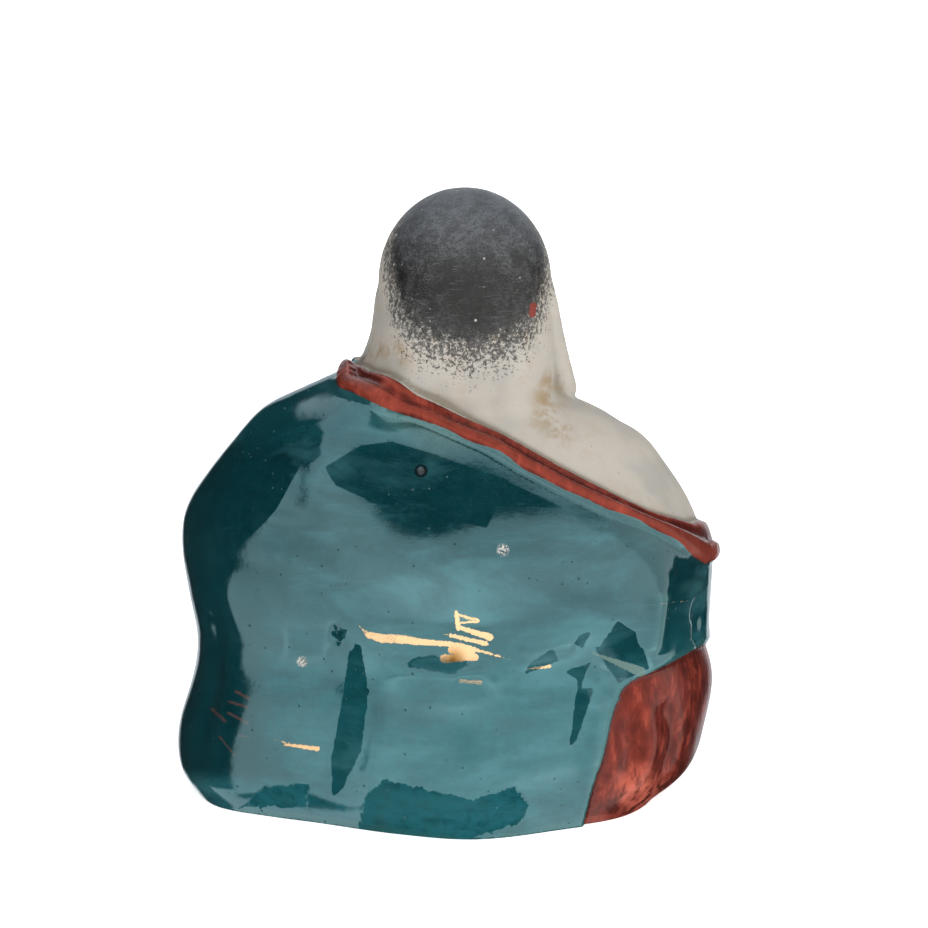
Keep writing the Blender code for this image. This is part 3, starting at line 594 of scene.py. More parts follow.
# broad facets of the back, corners in the flat layout, kept as fields on the mesh
broadFacets = {
    # between the gathers
    "foldFacets": [
        [(-9.3, 14.3), (-9.9, 15.6), (-12.8, 17.5), (-13.5, 16.0)],
        [(-15.0, 17.9), (-15.7, 19.0), (-17.3, 19.5), (-16.1, 17.3)],
        [(-19.9, 20.7), (-22.1, 19.3), (-23.0, 16.5), (-17.6, 17.0)],
        [(-17.2, 17.6), (-22.9, 17.6), (-23.7, 15.1), (-20.1, 13.4)],
        [(-13.9, 14.8), (-17.1, 16.0), (-16.1, 13.4), (-15.2, 13.9)],
        [(-15.4, 14.3), (-16.2, 13.6), (-15.9, 12.5), (-15.4, 12.7)],
        [(-15.3, 13.0), (-17.5, 13.0), (-15.4, 6.9), (-14.5, 6.2)],
        [(12.6, 19.2), (10.3, 19.8), (10.7, 18.6), (11.2, 18.0)],
    ],
    # the crisp wall of the fold over the hip
    "wallFacets": [
        [(9.6, 18.1), (8.9, 17.8), (8.0, 12.6), (10.5, 15.4)],
        [(10.3, 17.1), (8.9, 17.8), (8.0, 12.6), (10.9, 12.3)],
        [(10.9, 12.5), (8.0, 12.8), (8.9, 5.6), (12.3, 5.1)],
        [(12.3, 5.3), (8.9, 5.9), (10.9, 1.7), (12.2, 0.5)],
    ],
    # where the base rolls under
    "baseFacets": [
        [(22.7, -0.6), (20.1, 1.9), (14.5, 2.4), (15.0, -0.7)],
        [(9.6, -3.3), (8.5, 1.1), (6.4, 2.8), (3.6, 1.5)],
        [(9.8, -3.5), (6.3, 2.9), (-4.4, 0.3), (-3.0, -4.9)],
        [(-1.4, -4.9), (-2.8, 0.3), (-8.7, 2.1), (-9.7, -2.2)],
        [(-3.4, -4.2), (-8.6, 1.9), (-10.3, -0.3), (-8.7, -2.4)],
    ],
    # a soft hollow under the gilding
    "hollowFacets": [[(5.6, 15.4), (1.6, 17.6), (-5.4, 16.2), (-1.4, 13.6)]],
    # a quiet patch over the hip
    "calmFacets": [[(18.0, 15.6), (18.0, 20.4), (12.2, 20.4), (12.2, 15.6)]],
    # over the left arm and the shoulder blades
    "flankFacets": [
        [(23.0, 28.4), (23.5, 38.0), (14.2, 40.8), (18.4, 32.8)],
        [(18.4, 38.8), (18.4, 41.8), (15.2, 41.8), (15.2, 38.8)],
    ],
    "bladeFacets": [
        [(13.2, 37.9), (9.0, 40.3), (7.9, 33.9), (11.8, 35.7)],
        [(9.4, 40.3), (5.1, 40.9), (2.7, 32.4), (8.3, 33.9)],
        [(5.6, 40.9), (0.0, 39.2), (-2.8, 31.6), (3.4, 32.4)],
        [(0.6, 39.3), (-7.9, 36.4), (-5.3, 30.8), (-2.1, 31.7)],
        [(-5.6, 37.2), (-14.6, 33.1), (-9.0, 33.2), (-5.4, 33.3)],
    ],
}


def facetField(u, v, facets):
    # millimetres inside the nearest of the facets, negative outside them
    best = np.full(len(u), -3.0)
    for corners in facets:
        inside = np.full(len(u), 9.0)
        for (au, av), (bu, bv) in zip(corners, corners[1:] + corners[:1]):
            length = math.hypot(bu - au, bv - av)
            inside = np.minimum(inside, ((bu - au) * (v - av) - (bv - av) * (u - au)) / length)
        best = np.maximum(best, inside)
    return best


def carve(mesh):
    # raises the robe and its collar, presses the folds in, and keeps the zones as fields
    points = readVectors(mesh.vertices, "co") / mm
    normals = readVectors(mesh.vertex_normals, "vector")
    tree = BVHTree.FromPolygons([v.co for v in mesh.vertices],
                                [tuple(p.vertices) for p in mesh.polygons])
    neck = np.vstack([carriedToBack(tree, collar["back"]), carriedToFront(tree, collar["front"])])
    neck = np.vstack([neck, neck[:1]])
    seam = np.vstack([carriedToFront(tree, hem["front"])[::-1], carriedToBack(tree, hem["back"])])
    neckGap = distanceToPath(points, neck, clay["seamReach"])[0]
    hemGap = distanceToPath(points, seam, clay["seamReach"])[0]
    robeSide = np.where(bareZone(points), -neckGap, neckGap)
    hemSide = np.where(trouserZone(points), -hemGap, hemGap)
    soft = clay["seamSoftness"]
    robe = smoothStep(-soft, soft, robeSide) * smoothStep(-soft, soft, hemSide)
    bandWidth = collarWidth(points)
    band = 1 - smoothStep(0.44, 0.58, neckGap / bandWidth)
    rise = robe * clay["robeThickness"] + band * collar["rise"]
    for folds, carried in ((backFolds, carriedToBack), (frontFolds, carriedToFront)):
        for height, halfWidth, path in folds.values():
            gap, along = distanceToPath(points, carried(tree, path), 3 * halfWidth)
            ends = smoothStep(0, 0.25, along) * (1 - smoothStep(0.75, 1, along)) + 0.25
            rise += height * np.exp(-(gap / halfWidth) ** 2) * np.minimum(ends, 1)
    u, v = laidFlat(points)
    facesBack = normals[:, 1] > -0.1
    for depth, leftWidth, rightWidth, path in pleats.values():
        rise += np.where(facesBack, pleatDepth(u, v, depth, leftWidth, rightWidth, path), 0)
    skinSide = np.minimum(handDistance(points), footDistance(points))
    points += normals * rise[:, None]
    mesh.vertices.foreach_set("co", (points * mm).ravel())
    mesh.update()
    u, v = laidFlat(points)
    edge = handWobble(points, 2.4, 0.16)
    storeField(mesh, "robeSide", robeSide)
    storeField(mesh, "bandSide", neckGap - bandWidth * 0.5 + edge)
    storeField(mesh, "hemSide", hemSide + edge)
    storeField(mesh, "skinSide", skinSide - 0.15 + edge * 0.6)
    storeField(mesh, "hairSide", hairDistance(points))
    storeField(mesh, "layoutU", u)
    storeField(mesh, "layoutV", v)
    for name, facets in broadFacets.items():
        storeField(mesh, name, facetField(u, v, facets))
    print("carved", len(mesh.vertices), "points")


def smoothed(mesh, iterations):
    # softens the carved surface as its glaze does
    holder = bpy.data.objects.new("smoothing", mesh)
    bpy.context.scene.collection.objects.link(holder)
    soften = holder.modifiers.new("glaze", "SMOOTH")
    soften.factor = 0.5
    soften.iterations = iterations
    graph = bpy.context.evaluated_depsgraph_get()
    result = bpy.data.meshes.new_from_object(holder.evaluated_get(graph))
    bpy.data.objects.remove(holder)
    bpy.data.meshes.remove(mesh)
    return result


def flatUnderside(mesh):
    cut = bmesh.new()
    cut.from_mesh(mesh)
    bmesh.ops.bisect_plane(cut, geom=cut.verts[:] + cut.edges[:] + cut.faces[:], dist=1e-6,
                           plane_co=(0, 0, 0), plane_no=(0, 0, 1), clear_inner=True)
    rim = [edge for edge in cut.edges if edge.is_boundary]
    base = bmesh.ops.contextual_create(cut, geom=rim)["faces"]
    bmesh.ops.triangulate(cut, faces=base)
    bmesh.ops.recalc_face_normals(cut, faces=cut.faces)
    cut.to_mesh(mesh)
    cut.free()


def cavityField(mesh):
    # how far each point lies below (positive) or above its neighbourhood
    points = readVectors(mesh.vertices, "co") / mm
    normals = readVectors(mesh.vertex_normals, "vector")
    ends = np.empty(len(mesh.edges) * 2, dtype=np.int64)
    mesh.edges.foreach_get("vertices", ends)
    a, b = ends.reshape(-1, 2).T
    count = np.bincount(np.concatenate([a, b]), minlength=len(points))
    spread = points.copy()
    for _ in range(clay["cavitySteps"]):
        total = np.zeros_like(spread)
        for axis in range(3):
            total[:, axis] = np.bincount(a, spread[b, axis], len(points))
            total[:, axis] += np.bincount(b, spread[a, axis], len(points))
        spread = 0.5 * spread + 0.5 * total / np.maximum(count, 1)[:, None]
    storeField(mesh, "cavity", ((spread - points) * normals).sum(axis=1))


def cutWhereZero(sheet, field):
    # splits the faces along the line where the field changes sign
    layer = sheet.verts.layers.float[field]
    made = []
    for edge in list(sheet.edges):
        a, b = edge.verts[0][layer], edge.verts[1][layer]
        if a * b < 0:
            share = a / (a - b)
            if share <= 0.08:
                point = edge.verts[0]
            elif share >= 0.92:
                point = edge.verts[1]
            else:
                point = bmesh.utils.edge_split(edge, edge.verts[0], share)[1]
            point[layer] = 0.0
            made.append(point)
    bmesh.ops.connect_verts(sheet, verts=list(dict.fromkeys(made)))


def zoneOf(sheet):
    # 0 teal robe, 1 red enamel, 2 bare skin, 3 raw clay under the foot
    robe, band, hemLine, bare = (sheet.verts.layers.float[name]
                                 for name in ("robeSide", "bandSide", "hemSide", "skinSide"))
    for face in sheet.faces:
        count = len(face.verts)
        robeValue, bandValue, hemValue, bareValue = (sum(v[layer] for v in face.verts) / count
                                                     for layer in (robe, band, hemLine, bare))
        if face.normal.z < -0.9 and face.calc_center_median().z < 0.05 * mm:
            face.material_index = 3
        elif bareValue < 0:
            face.material_index = 2
        elif bandValue < 0:
            face.material_index = 1
        elif robeValue < 0:
            face.material_index = 2
        elif hemValue < 0:
            face.material_index = 1
        else:
            face.material_index = 0


def splitZones(mesh):
    sheet = bmesh.new()
    sheet.from_mesh(mesh)
    for field in ("bandSide", "hemSide", "skinSide"):
        cutWhereZero(sheet, field)
    sheet.normal_update()
    zoneOf(sheet)
    bmesh.ops.triangulate(sheet, faces=[f for f in sheet.faces if len(f.verts) > 4])
    sheet.to_mesh(mesh)
    sheet.free()


def buildFigure():
    mesh = modelledFigure()
    print("clay fused")
    carve(mesh)
    mesh = smoothed(mesh, clay["glazeRelax"])
    flatUnderside(mesh)
    cavityField(mesh)
    splitZones(mesh)
    mesh.shade_smooth()
    figure = bpy.data.objects.new("hoteiSurface", mesh)
    bpy.context.scene.collection.objects.link(figure)
    return figure


figure = buildFigure()
print("figure built with", len(figure.data.polygons), "faces")


# finishes: helpers for the node trees, then a function for each material

def addNode(tree, kind, sockets=None, **settings):
    made = tree.nodes.new(kind)
    for key, value in settings.items():
        setattr(made, key, value)
    for key, value in (sockets or {}).items():
        if isinstance(value, bpy.types.NodeSocket):
            tree.links.new(value, made.inputs[key])
        else:
            made.inputs[key].default_value = value
    return made


def maths(tree, operation, a, b=0.0, clamp=False):
    return addNode(tree, "ShaderNodeMath", {0: a, 1: b}, operation=operation, use_clamp=clamp).outputs[0]


def times(tree, a, b):
    return maths(tree, "MULTIPLY", a, b)


def plus(tree, a, b, clamp=False):
    return maths(tree, "ADD", a, b, clamp)


def minus(tree, a, b):
    return maths(tree, "SUBTRACT", a, b)


def largest(tree, values):
    total = values[0]
    for value in values[1:]:
        total = maths(tree, "MAXIMUM", total, value)
    return total


def vectorMaths(tree, operation, a, b=(0.0, 0.0, 0.0)):
    return addNode(tree, "ShaderNodeVectorMath", {0: a, 1: b}, operation=operation)


def remap(tree, value, low, high, start=0.0, end=1.0):
    return addNode(tree, "ShaderNodeMapRange", {0: value, 1: low, 2: high, 3: start, 4: end},
                   interpolation_type="SMOOTHSTEP").outputs[0]


def mixTint(tree, factor, a, b):
    return addNode(tree, "ShaderNodeMix", {0: factor, 6: a, 7: b}, data_type="RGBA").outputs[2]


def layOver(tree, colour, tint, mask, share):
    # lays a share of a tint over the colour where the mask is on
    return mixTint(tree, times(tree, mask, share), colour, tint)


def meshField(tree, name):
    return addNode(tree, "ShaderNodeAttribute", attribute_name=name).outputs["Fac"]


def stretched(tree, place, scale, turn=(0.0, 0.0, 0.0)):
    return addNode(tree, "ShaderNodeMapping", {"Vector": place, "Rotation": turn, "Scale": scale}).outputs[0]


def noise(tree, place, scale, detail=3.0, roughness=0.55, distortion=0.0):
    return addNode(tree, "ShaderNodeTexNoise", {"Vector": place, "Scale": scale, "Detail": detail,
                                                "Roughness": roughness, "Distortion": distortion}).outputs[0]


def newGroup(name, inputs, outputs):
    group = bpy.data.node_groups.new(name, "ShaderNodeTree")
    for label, kind, value in inputs:
        socket = group.interface.new_socket(label, in_out="INPUT", socket_type=kind)
        if value is not None:
            socket.default_value = value
    for label, kind in outputs:
        group.interface.new_socket(label, in_out="OUTPUT", socket_type=kind)
    return group, group.nodes.new("NodeGroupInput").outputs, group.nodes.new("NodeGroupOutput").inputs


def useGroup(tree, group, sockets=None):
    made = tree.nodes.new("ShaderNodeGroup")
    made.node_tree = group
    for key, value in (sockets or {}).items():
        if isinstance(value, bpy.types.NodeSocket):
            tree.links.new(value, made.inputs[key])
        else:
            made.inputs[key].default_value = value
    return made.outputs


def makeFigurePlace():
    # millimetres on the figure, and the flat layout of its back
    group, _, result = newGroup("figurePlace", [], [
        ("Place", "NodeSocketVector"), ("Back", "NodeSocketVector"), ("Front", "NodeSocketVector"),
        ("Cavity", "NodeSocketFloat"), ("Behind", "NodeSocketFloat")])
    coords = addNode(group, "ShaderNodeTexCoord").outputs["Object"]
    place = addNode(group, "ShaderNodeVectorMath", {0: coords, "Scale": 1 / mm},
                    operation="SCALE").outputs[0]
    split = addNode(group, "ShaderNodeSeparateXYZ", {0: place}).outputs
    u = meshField(group, "layoutU")
    v = meshField(group, "layoutV")
    cavity = meshField(group, "cavity")
    back = addNode(group, "ShaderNodeCombineXYZ", {0: u, 1: v}).outputs[0]
    front = addNode(group, "ShaderNodeCombineXYZ", {0: split[0], 1: split[2]}).outputs[0]
    group.links.new(place, result["Place"])
    group.links.new(back, result["Back"])
    group.links.new(front, result["Front"])
    group.links.new(cavity, result["Cavity"])
    group.links.new(remap(group, split[1], -2.0, 0.0), result["Behind"])
    return group


def makeBrushStroke():
    # one straight touch of the brush, with its own width at each end and worn by its own share
    group, given, result = newGroup("brushStroke", [
        ("Flat", "NodeSocketVector", None), ("Start", "NodeSocketVector", (0, 0, 0)),
        ("End", "NodeSocketVector", (1, 0, 0)), ("Start width", "NodeSocketFloat", 0.3),
        ("End width", "NodeSocketFloat", 0.3), ("Wear", "NodeSocketFloat", 0.2)],
        [("Mask", "NodeSocketFloat")])
    arm = vectorMaths(group, "SUBTRACT", given["Flat"], given["Start"]).outputs[0]
    leg = vectorMaths(group, "SUBTRACT", given["End"], given["Start"]).outputs[0]
    reach = vectorMaths(group, "DOT_PRODUCT", arm, leg).outputs["Value"]
    length = vectorMaths(group, "DOT_PRODUCT", leg, leg).outputs["Value"]
    share = maths(group, "DIVIDE", reach, length, clamp=True)
    foot = addNode(group, "ShaderNodeVectorMath", {0: leg, "Scale": share}, operation="SCALE").outputs[0]
    gap = vectorMaths(group, "DISTANCE", arm, foot).outputs["Value"]
    width = addNode(group, "ShaderNodeMix", {0: share, 2: given["Start width"], 3: given["End width"]},
                    data_type="FLOAT").outputs[0]
    ragged = noise(group, given["Flat"], 3.2, 2.0)
    wobble = times(group, minus(group, ragged, 0.5), 0.42)
    edge = minus(group, plus(group, gap, wobble), width)
    body = remap(group, edge, 0.05, -0.05)
    speckle = noise(group, given["Flat"], 9.0, 2.0, 0.7)
    limit = plus(group, times(group, given["Wear"], 0.6), 0.12)
    limit = plus(group, limit, remap(group, edge, -0.16, 0.05, 0.0, 0.34))
    kept = maths(group, "GREATER_THAN", speckle, limit)
    group.links.new(times(group, body, kept), result["Mask"])
    return group


def makeSpatter():
    # small round specks of uneven size, some cells left empty
    group, given, result = newGroup("spatter", [
        ("Place", "NodeSocketVector", None), ("Scale", "NodeSocketFloat", 1.0),
        ("Size", "NodeSocketFloat", 0.2), ("Share", "NodeSocketFloat", 0.4)],
        [("Mask", "NodeSocketFloat")])
    cells = addNode(group, "ShaderNodeTexVoronoi", {"Vector": given["Place"], "Scale": given["Scale"]})
    random = addNode(group, "ShaderNodeSeparateColor", {0: cells.outputs["Color"]}).outputs
    size = times(group, given["Size"], plus(group, random[1], 0.35))
    dot = remap(group, minus(group, cells.outputs["Distance"], size), 0.05, -0.05)
    used = maths(group, "LESS_THAN", random[0], given["Share"])
    group.links.new(times(group, dot, used), result["Mask"])
    return group


def spatterMask(tree, place, scale, size, share):
    values = {"Place": place, "Scale": scale, "Size": size, "Share": share}
    return useGroup(tree, spatter, values)["Mask"]


def makeGlazeRipple():
    # the slow unevenness of fired glaze with its pinholes, as tone and height
    group, given, result = newGroup("glazeRipple", [
        ("Place", "NodeSocketVector", None), ("Pinholes", "NodeSocketFloat", 0.1)],
        [("Tone", "NodeSocketFloat"), ("Height", "NodeSocketFloat"), ("Pits", "NodeSocketFloat")])
    slow = noise(group, given["Place"], 0.16, 3.0)
    cloud = noise(group, given["Place"], 0.9, 4.0, 0.6)
    fine = noise(group, given["Place"], 5.0, 3.0, 0.65)
    grain = noise(group, given["Place"], 14.0, 2.0, 0.6)
    tone = plus(group, times(group, slow, 0.45), times(group, cloud, 0.35))
    tone = plus(group, tone, times(group, fine, 0.2))
    pits = spatterMask(group, given["Place"], 1.1, 0.1, given["Pinholes"])
    height = plus(group, times(group, cloud, 0.12), times(group, fine, 0.022))
    height = plus(group, height, times(group, grain, 0.010))
    height = minus(group, height, times(group, pits, 0.25))
    group.links.new(tone, result["Tone"])
    group.links.new(height, result["Height"])
    group.links.new(pits, result["Pits"])
    return group


figurePlace = makeFigurePlace()
brushStroke = makeBrushStroke()
spatter = makeSpatter()
glazeRipple = makeGlazeRipple()


def newFinish(name, shaderValues):
    material = bpy.data.materials.new(name)
    material.use_nodes = True
    tree = material.node_tree
    shader = tree.nodes["Principled BSDF"]
    for key, value in shaderValues.items():
        shader.inputs[key].default_value = value
    return material, tree, shader


def paintStrokes(tree, flat, strokes):
    masks = []
    for start, end, startWidth, endWidth, wear in strokes:
        masks.append(useGroup(tree, brushStroke, {"Flat": flat, "Start": (*start, 0), "End": (*end, 0),
                                                  "Start width": startWidth, "End width": endWidth,
                                                  "Wear": wear})["Mask"])
    return largest(tree, masks)


def spotMask(tree, flat, centre, radius, soft):
    gap = vectorMaths(tree, "DISTANCE", flat, (*centre, 0)).outputs["Value"]
    return remap(tree, gap, radius + soft, max(radius - soft, 0.0))


def readFacets(tree, name, ragged, edge):
    # the mask of a group of broad facets, from the field that the mesh carries
    inside = plus(tree, meshField(tree, name), ragged)
    return addNode(tree, "ShaderNodeMapRange", {0: inside, 1: 0.0, 2: edge},
                   interpolation_type="SMOOTHSTEP").outputs[0]


def leanNormal(tree, normal, mask, way):
    # turns the surface's normal towards one direction of the figure where the mask is on
    lean = addNode(tree, "ShaderNodeVectorTransform", {0: way}, vector_type="NORMAL",
                   convert_from="OBJECT", convert_to="WORLD").outputs[0]
    mixed = addNode(tree, "ShaderNodeMix", {0: mask, 4: normal, 5: lean}, data_type="VECTOR").outputs[1]
    return vectorMaths(tree, "NORMALIZE", mixed).outputs[0]


def addBump(tree, shader, height, distance, normal=None):
    bump = addNode(tree, "ShaderNodeBump", {"Distance": distance * mm, "Height": height})
    if normal is not None:
        tree.links.new(normal, bump.inputs["Normal"])
    tree.links.new(bump.outputs[0], shader.inputs["Normal"])


# teal glaze with its gilding: strokes are start, end, widths and wear in the flat layout
teal = {
    "shader": {"IOR": 1.82, "Specular Tint": (0.52, 0.91, 1.0, 1.0)},
    "deep": (0.0005, 0.018, 0.023, 1),
    "body": (0.0012, 0.028, 0.034, 1),
    "thin": (0.030, 0.095, 0.092, 1),
    "bareEdge": (0.085, 0.125, 0.095, 1),
    # lighter teal of the painted reflection low down and over the shoulders
    "paintedReflection": (0.0052, 0.070, 0.084, 1),
    "cloudy": (0.034, 0.125, 0.145, 1),
    "scuff": (0.035, 0.075, 0.080, 1),
    "grime": (0.002, 0.030, 0.036, 1),
    # lighter teal of the painted reflection of the table on the rolled base
    "tableReflection": (0.014, 0.110, 0.130, 1),
    "olive": (0.075, 0.105, 0.072, 1),
    "pinhole": (0.004, 0.012, 0.012, 1),
    "pitRing": (0.002, 0.006, 0.008, 1),
    "pitHeart": (0.050, 0.038, 0.038, 1),
    "pitPale": (0.50, 0.46, 0.42, 1),
    "pinholes": 0.24,
    "roughness": 0.075,
    "gold": (0.74, 0.50, 0.28, 1),
    "goldDeep": (0.34, 0.17, 0.05, 1),
    "ghost": (0.060, 0.034, 0.030, 1),
    "goldStrokes": [
        ((9.14, 19.97), (8.11, 18.95), 0.10, 0.42, 0.62), ((8.11, 18.95), (6.52, 18.55), 0.42, 0.58, 0.46),
        ((6.52, 18.55), (4.47, 18.47), 0.58, 0.54, 0.50), ((4.47, 18.47), (2.41, 18.16), 0.54, 0.44, 0.36),
        ((2.41, 18.16), (-0.74, 17.92), 0.36, 0.30, 0.0), ((-0.74, 17.92), (-2.65, 17.60), 0.30, 0.34, 0.0),
        ((-2.65, 17.60), (-4.23, 17.21), 0.34, 0.20, 0.05),
        ((-4.23, 17.21), (-6.76, 16.50), 0.20, 0.14, 0.35),
        ((-6.76, 16.50), (-8.18, 16.01), 0.13, 0.04, 0.65),
        ((-1.82, 21.47), (-2.05, 19.70), 0.22, 0.30, 0.05),
        ((-1.93, 21.22), (-4.30, 20.55), 0.24, 0.26, 0.44),
        ((-2.20, 20.30), (-4.20, 20.45), 0.12, 0.16, 0.10),
        ((-2.10, 19.80), (-5.60, 18.68), 0.20, 0.38, 0.0),
        ((-0.15, 19.10), (-1.20, 18.90), 0.05, 0.16, 0.60),
        ((-1.20, 18.88), (-5.20, 17.92), 0.20, 0.26, 0.0),
        ((-0.45, 16.26), (-3.90, 16.45), 0.44, 0.42, 0.0),
        ((-1.30, 17.20), (-3.60, 16.90), 0.40, 0.36, 0.0),
        ((-2.15, 13.75), (-4.55, 13.60), 0.26, 0.36, 0.66),
        ((-9.76, 15.07), (-12.40, 15.40), 0.10, 0.24, 0.40),
        ((-22.9, 22.20), (-28.1, 22.80), 0.05, 0.08, 0.52),
        ((18.9, 7.20), (17.4, 6.80), 0.05, 0.16, 0.55), ((17.4, 6.60), (13.8, 6.10), 0.18, 0.30, 0.30),
    ],
    "poolSpot": ((-1.6, 16.25), 0.95),
    "ghostStrokes": [
        ((23.0, 12.6), (21.6, 11.8), 0.22, 0.20, 0.3), ((23.8, 11.4), (21.7, 10.8), 0.18, 0.22, 0.3),
        ((23.8, 10.1), (21.7, 9.0), 0.20, 0.24, 0.35), ((25.7, 10.6), (24.2, 9.2), 0.20, 0.20, 0.3),
        ((22.8, 7.6), (21.6, 7.4), 0.16, 0.14, 0.4), ((24.8, 7.4), (23.0, 5.2), 0.18, 0.14, 0.42),
    ],
    "brownPit": ((2.14, 37.42), 0.74),
    "palePits": [((-7.10, 28.5), 0.62), ((15.55, 15.9), 0.54)],
    "thinPatch": ((3.1, 40.6), 5.2),
    "ray": ((-17.2, 16.9), (-22.6, 14.8), 0.10, 0.60, 0.25),
    # the direction that each kind of facet faces, in x, y and z
    "facetWay": (-0.13, 0.74, -0.66),  # in the folds, the hollow and at the base: down to the table
    "wallWay": (0.70, 0.71, 0.05),  # the wall over the hip: to the left side
    "flankWay": (0.62, 0.77, 0.17),  # the left arm: to the left and a little up
    "bladeWay": (-0.04, 0.84, 0.54),  # the shoulder blades: up and back
    "calmWay": (0.22, 0.97, -0.06),  # the quiet patch: straight back
    # heights, and distances to the left, between which the painted reflection and the painted shade change
    "lowReflection": (25.0, 13.0, 0.0, 0.85),
    "highReflection": (38.5, 43.0, 0.0, 0.5),
    "leftEdge": (18.5, 21.5),
    "leftBottom": (1.5, 4.0),
    "leftTop": (42.0, 38.0),
}


def glazeCoat(tree, place, tone):
    # the glaze is painted lighter low down and over the shoulders, a painted reflection of the table and of
    # the lamps above, and darkest on the left side, painted shade
    colour = mixTint(tree, tone, teal["deep"], teal["body"])
    flat = addNode(tree, "ShaderNodeSeparateXYZ", {0: place["Back"]}).outputs
    low = remap(tree, flat[1], *teal["lowReflection"])
    high = remap(tree, flat[1], *teal["highReflection"])
    leftSide = remap(tree, flat[0], *teal["leftEdge"])
    leftSide = times(tree, leftSide, remap(tree, flat[1], *teal["leftBottom"]))
    leftSide = times(tree, leftSide, remap(tree, flat[1], *teal["leftTop"]))
    # painted reflection low down and over the shoulders, kept off the left side, which stays dark as painted
    # shade
    paintedReflection = times(tree, plus(tree, low, high), minus(tree, 1.0, leftSide))
    mottle = noise(tree, place["Place"], 0.55, 6.0, 0.7, 0.5)
    paintedReflection = times(tree, paintedReflection, remap(tree, mottle, 0.36, 0.64, 0.66, 1.05))
    colour = mixTint(tree, paintedReflection, colour, teal["paintedReflection"])
    # streaky clouds, scuffs, grime and worn ridges
    coat = stretched(tree, place["Place"], (0.06, 0.06, 0.17), (0.0, 0.12, 0.0))
    coat = noise(tree, coat, 1.0, 5.0, 0.62, 0.4)
    clouds = times(tree, remap(tree, coat, 0.46, 0.70), minus(tree, 0.60, times(tree, leftSide, 0.58)))
    colour = mixTint(tree, clouds, colour, teal["cloudy"])
    colour = mixTint(tree, remap(tree, coat, 0.48, 0.34, 0.0, 0.65), colour, teal["body"])
    scuffed = times(tree, remap(tree, noise(tree, place["Place"], 2.2, 6.0, 0.75), 0.52, 0.68), 0.14)
    colour = mixTint(tree, scuffed, colour, teal["scuff"])
    brushed = stretched(tree, place["Place"], (0.7, 0.7, 5.0), (0.0, 0.25, 0.0))
    scuffs = remap(tree, noise(tree, brushed, 1.9, 4.0, 0.7), 0.52, 0.72)
    colour = layOver(tree, colour, teal["scuff"], scuffs, 0.22)
    grime = remap(tree, noise(tree, place["Place"], 8.0, 3.0, 0.75), 0.60, 0.70)
    colour = layOver(tree, colour, teal["grime"], grime, 0.35)
    ridge = remap(tree, place["Cavity"], -0.02, -0.16)
    return layOver(tree, colour, teal["thin"], ridge, 0.55), mottle


def thinBesideCollar(tree, place, colour):
    # the glaze runs thin beside the collar, most of all over the shoulder blade
    neckGap = meshField(tree, "robeSide")
    cloud = noise(tree, place["Place"], 0.7, 4.0, 0.6)
    patch = times(tree, spotMask(tree, place["Back"], *teal["thinPatch"], 2.6), place["Behind"])
    reach = plus(tree, times(tree, patch, 2.4), 0.9)
    thinned = minus(tree, plus(tree, neckGap, times(tree, cloud, 2.4)), reach)
    thinned = remap(tree, thinned, 3.4, -0.8)
    specks = noise(tree, place["Place"], 5.5, 3.0, 0.75)
    thinned = times(tree, thinned, remap(tree, specks, 0.38, 0.62, 0.35, 1.0))
    return layOver(tree, colour, teal["bareEdge"], thinned, 0.6)


def glazePits(tree, place, ripple, colour):
    # grime in the pinholes, a crater with a brown heart, and pale crumbly craters
    colour = layOver(tree, colour, teal["pinhole"], ripple["Pits"], 0.8)
    middle, radius = teal["brownPit"]
    brown = spotMask(tree, place["Back"], middle, radius, 0.16)
    brownHeart = spotMask(tree, place["Back"], middle, radius * 0.50, 0.20)
    pale = largest(tree, [spotMask(tree, place["Back"], *pit, 0.24) for pit in teal["palePits"]])
    crumbs = noise(tree, place["Place"], 4.0, 3.0, 0.7)
    pale = times(tree, pale, remap(tree, crumbs, 0.40, 0.56))
    brown = times(tree, brown, place["Behind"])
    pale = times(tree, pale, place["Behind"])
    colour = mixTint(tree, brown, colour, teal["pitRing"])
    brownHeart = times(tree, brownHeart, place["Behind"])
    crumbly = times(tree, brownHeart, remap(tree, crumbs, 0.35, 0.55))
    colour = mixTint(tree, crumbly, colour, teal["pitHeart"])
    return mixTint(tree, pale, colour, teal["pitPale"]), pale, brownHeart


def glazeFacets(tree, place, mottle, colour):
    # where the facets are, with the olive ray across the folds and the rolled base painted lighter as a
    # reflection of the table
    ragged = times(tree, minus(tree, noise(tree, place["Back"], 0.9, 5.0, 0.75), 0.5), 2.0)
    slight = times(tree, ragged, 0.35)
    baseFacets = readFacets(tree, "baseFacets", ragged, 0.40)
    hollowFacets = times(tree, readFacets(tree, "hollowFacets", ragged, 1.3), 0.85)
    ray = times(tree, paintStrokes(tree, place["Back"], [teal["ray"]]), place["Behind"])
    folds = readFacets(tree, "foldFacets", slight, 0.14)
    folds = times(tree, folds, minus(tree, 1.0, times(tree, ray, 0.45)))
    colour = layOver(tree, colour, teal["olive"], ray, 0.7)
    facets = maths(tree, "MAXIMUM", folds, baseFacets)
    facets = maths(tree, "MAXIMUM", facets, hollowFacets)
    facets = times(tree, facets, place["Behind"])
    # painted reflection of the table on the rolled base
    tableReflection = times(tree, times(tree, baseFacets, place["Behind"]), remap(tree, mottle, 0.36, 0.60, 0.1, 0.7))
    return mixTint(tree, tableReflection, colour, teal["tableReflection"]), facets, slight


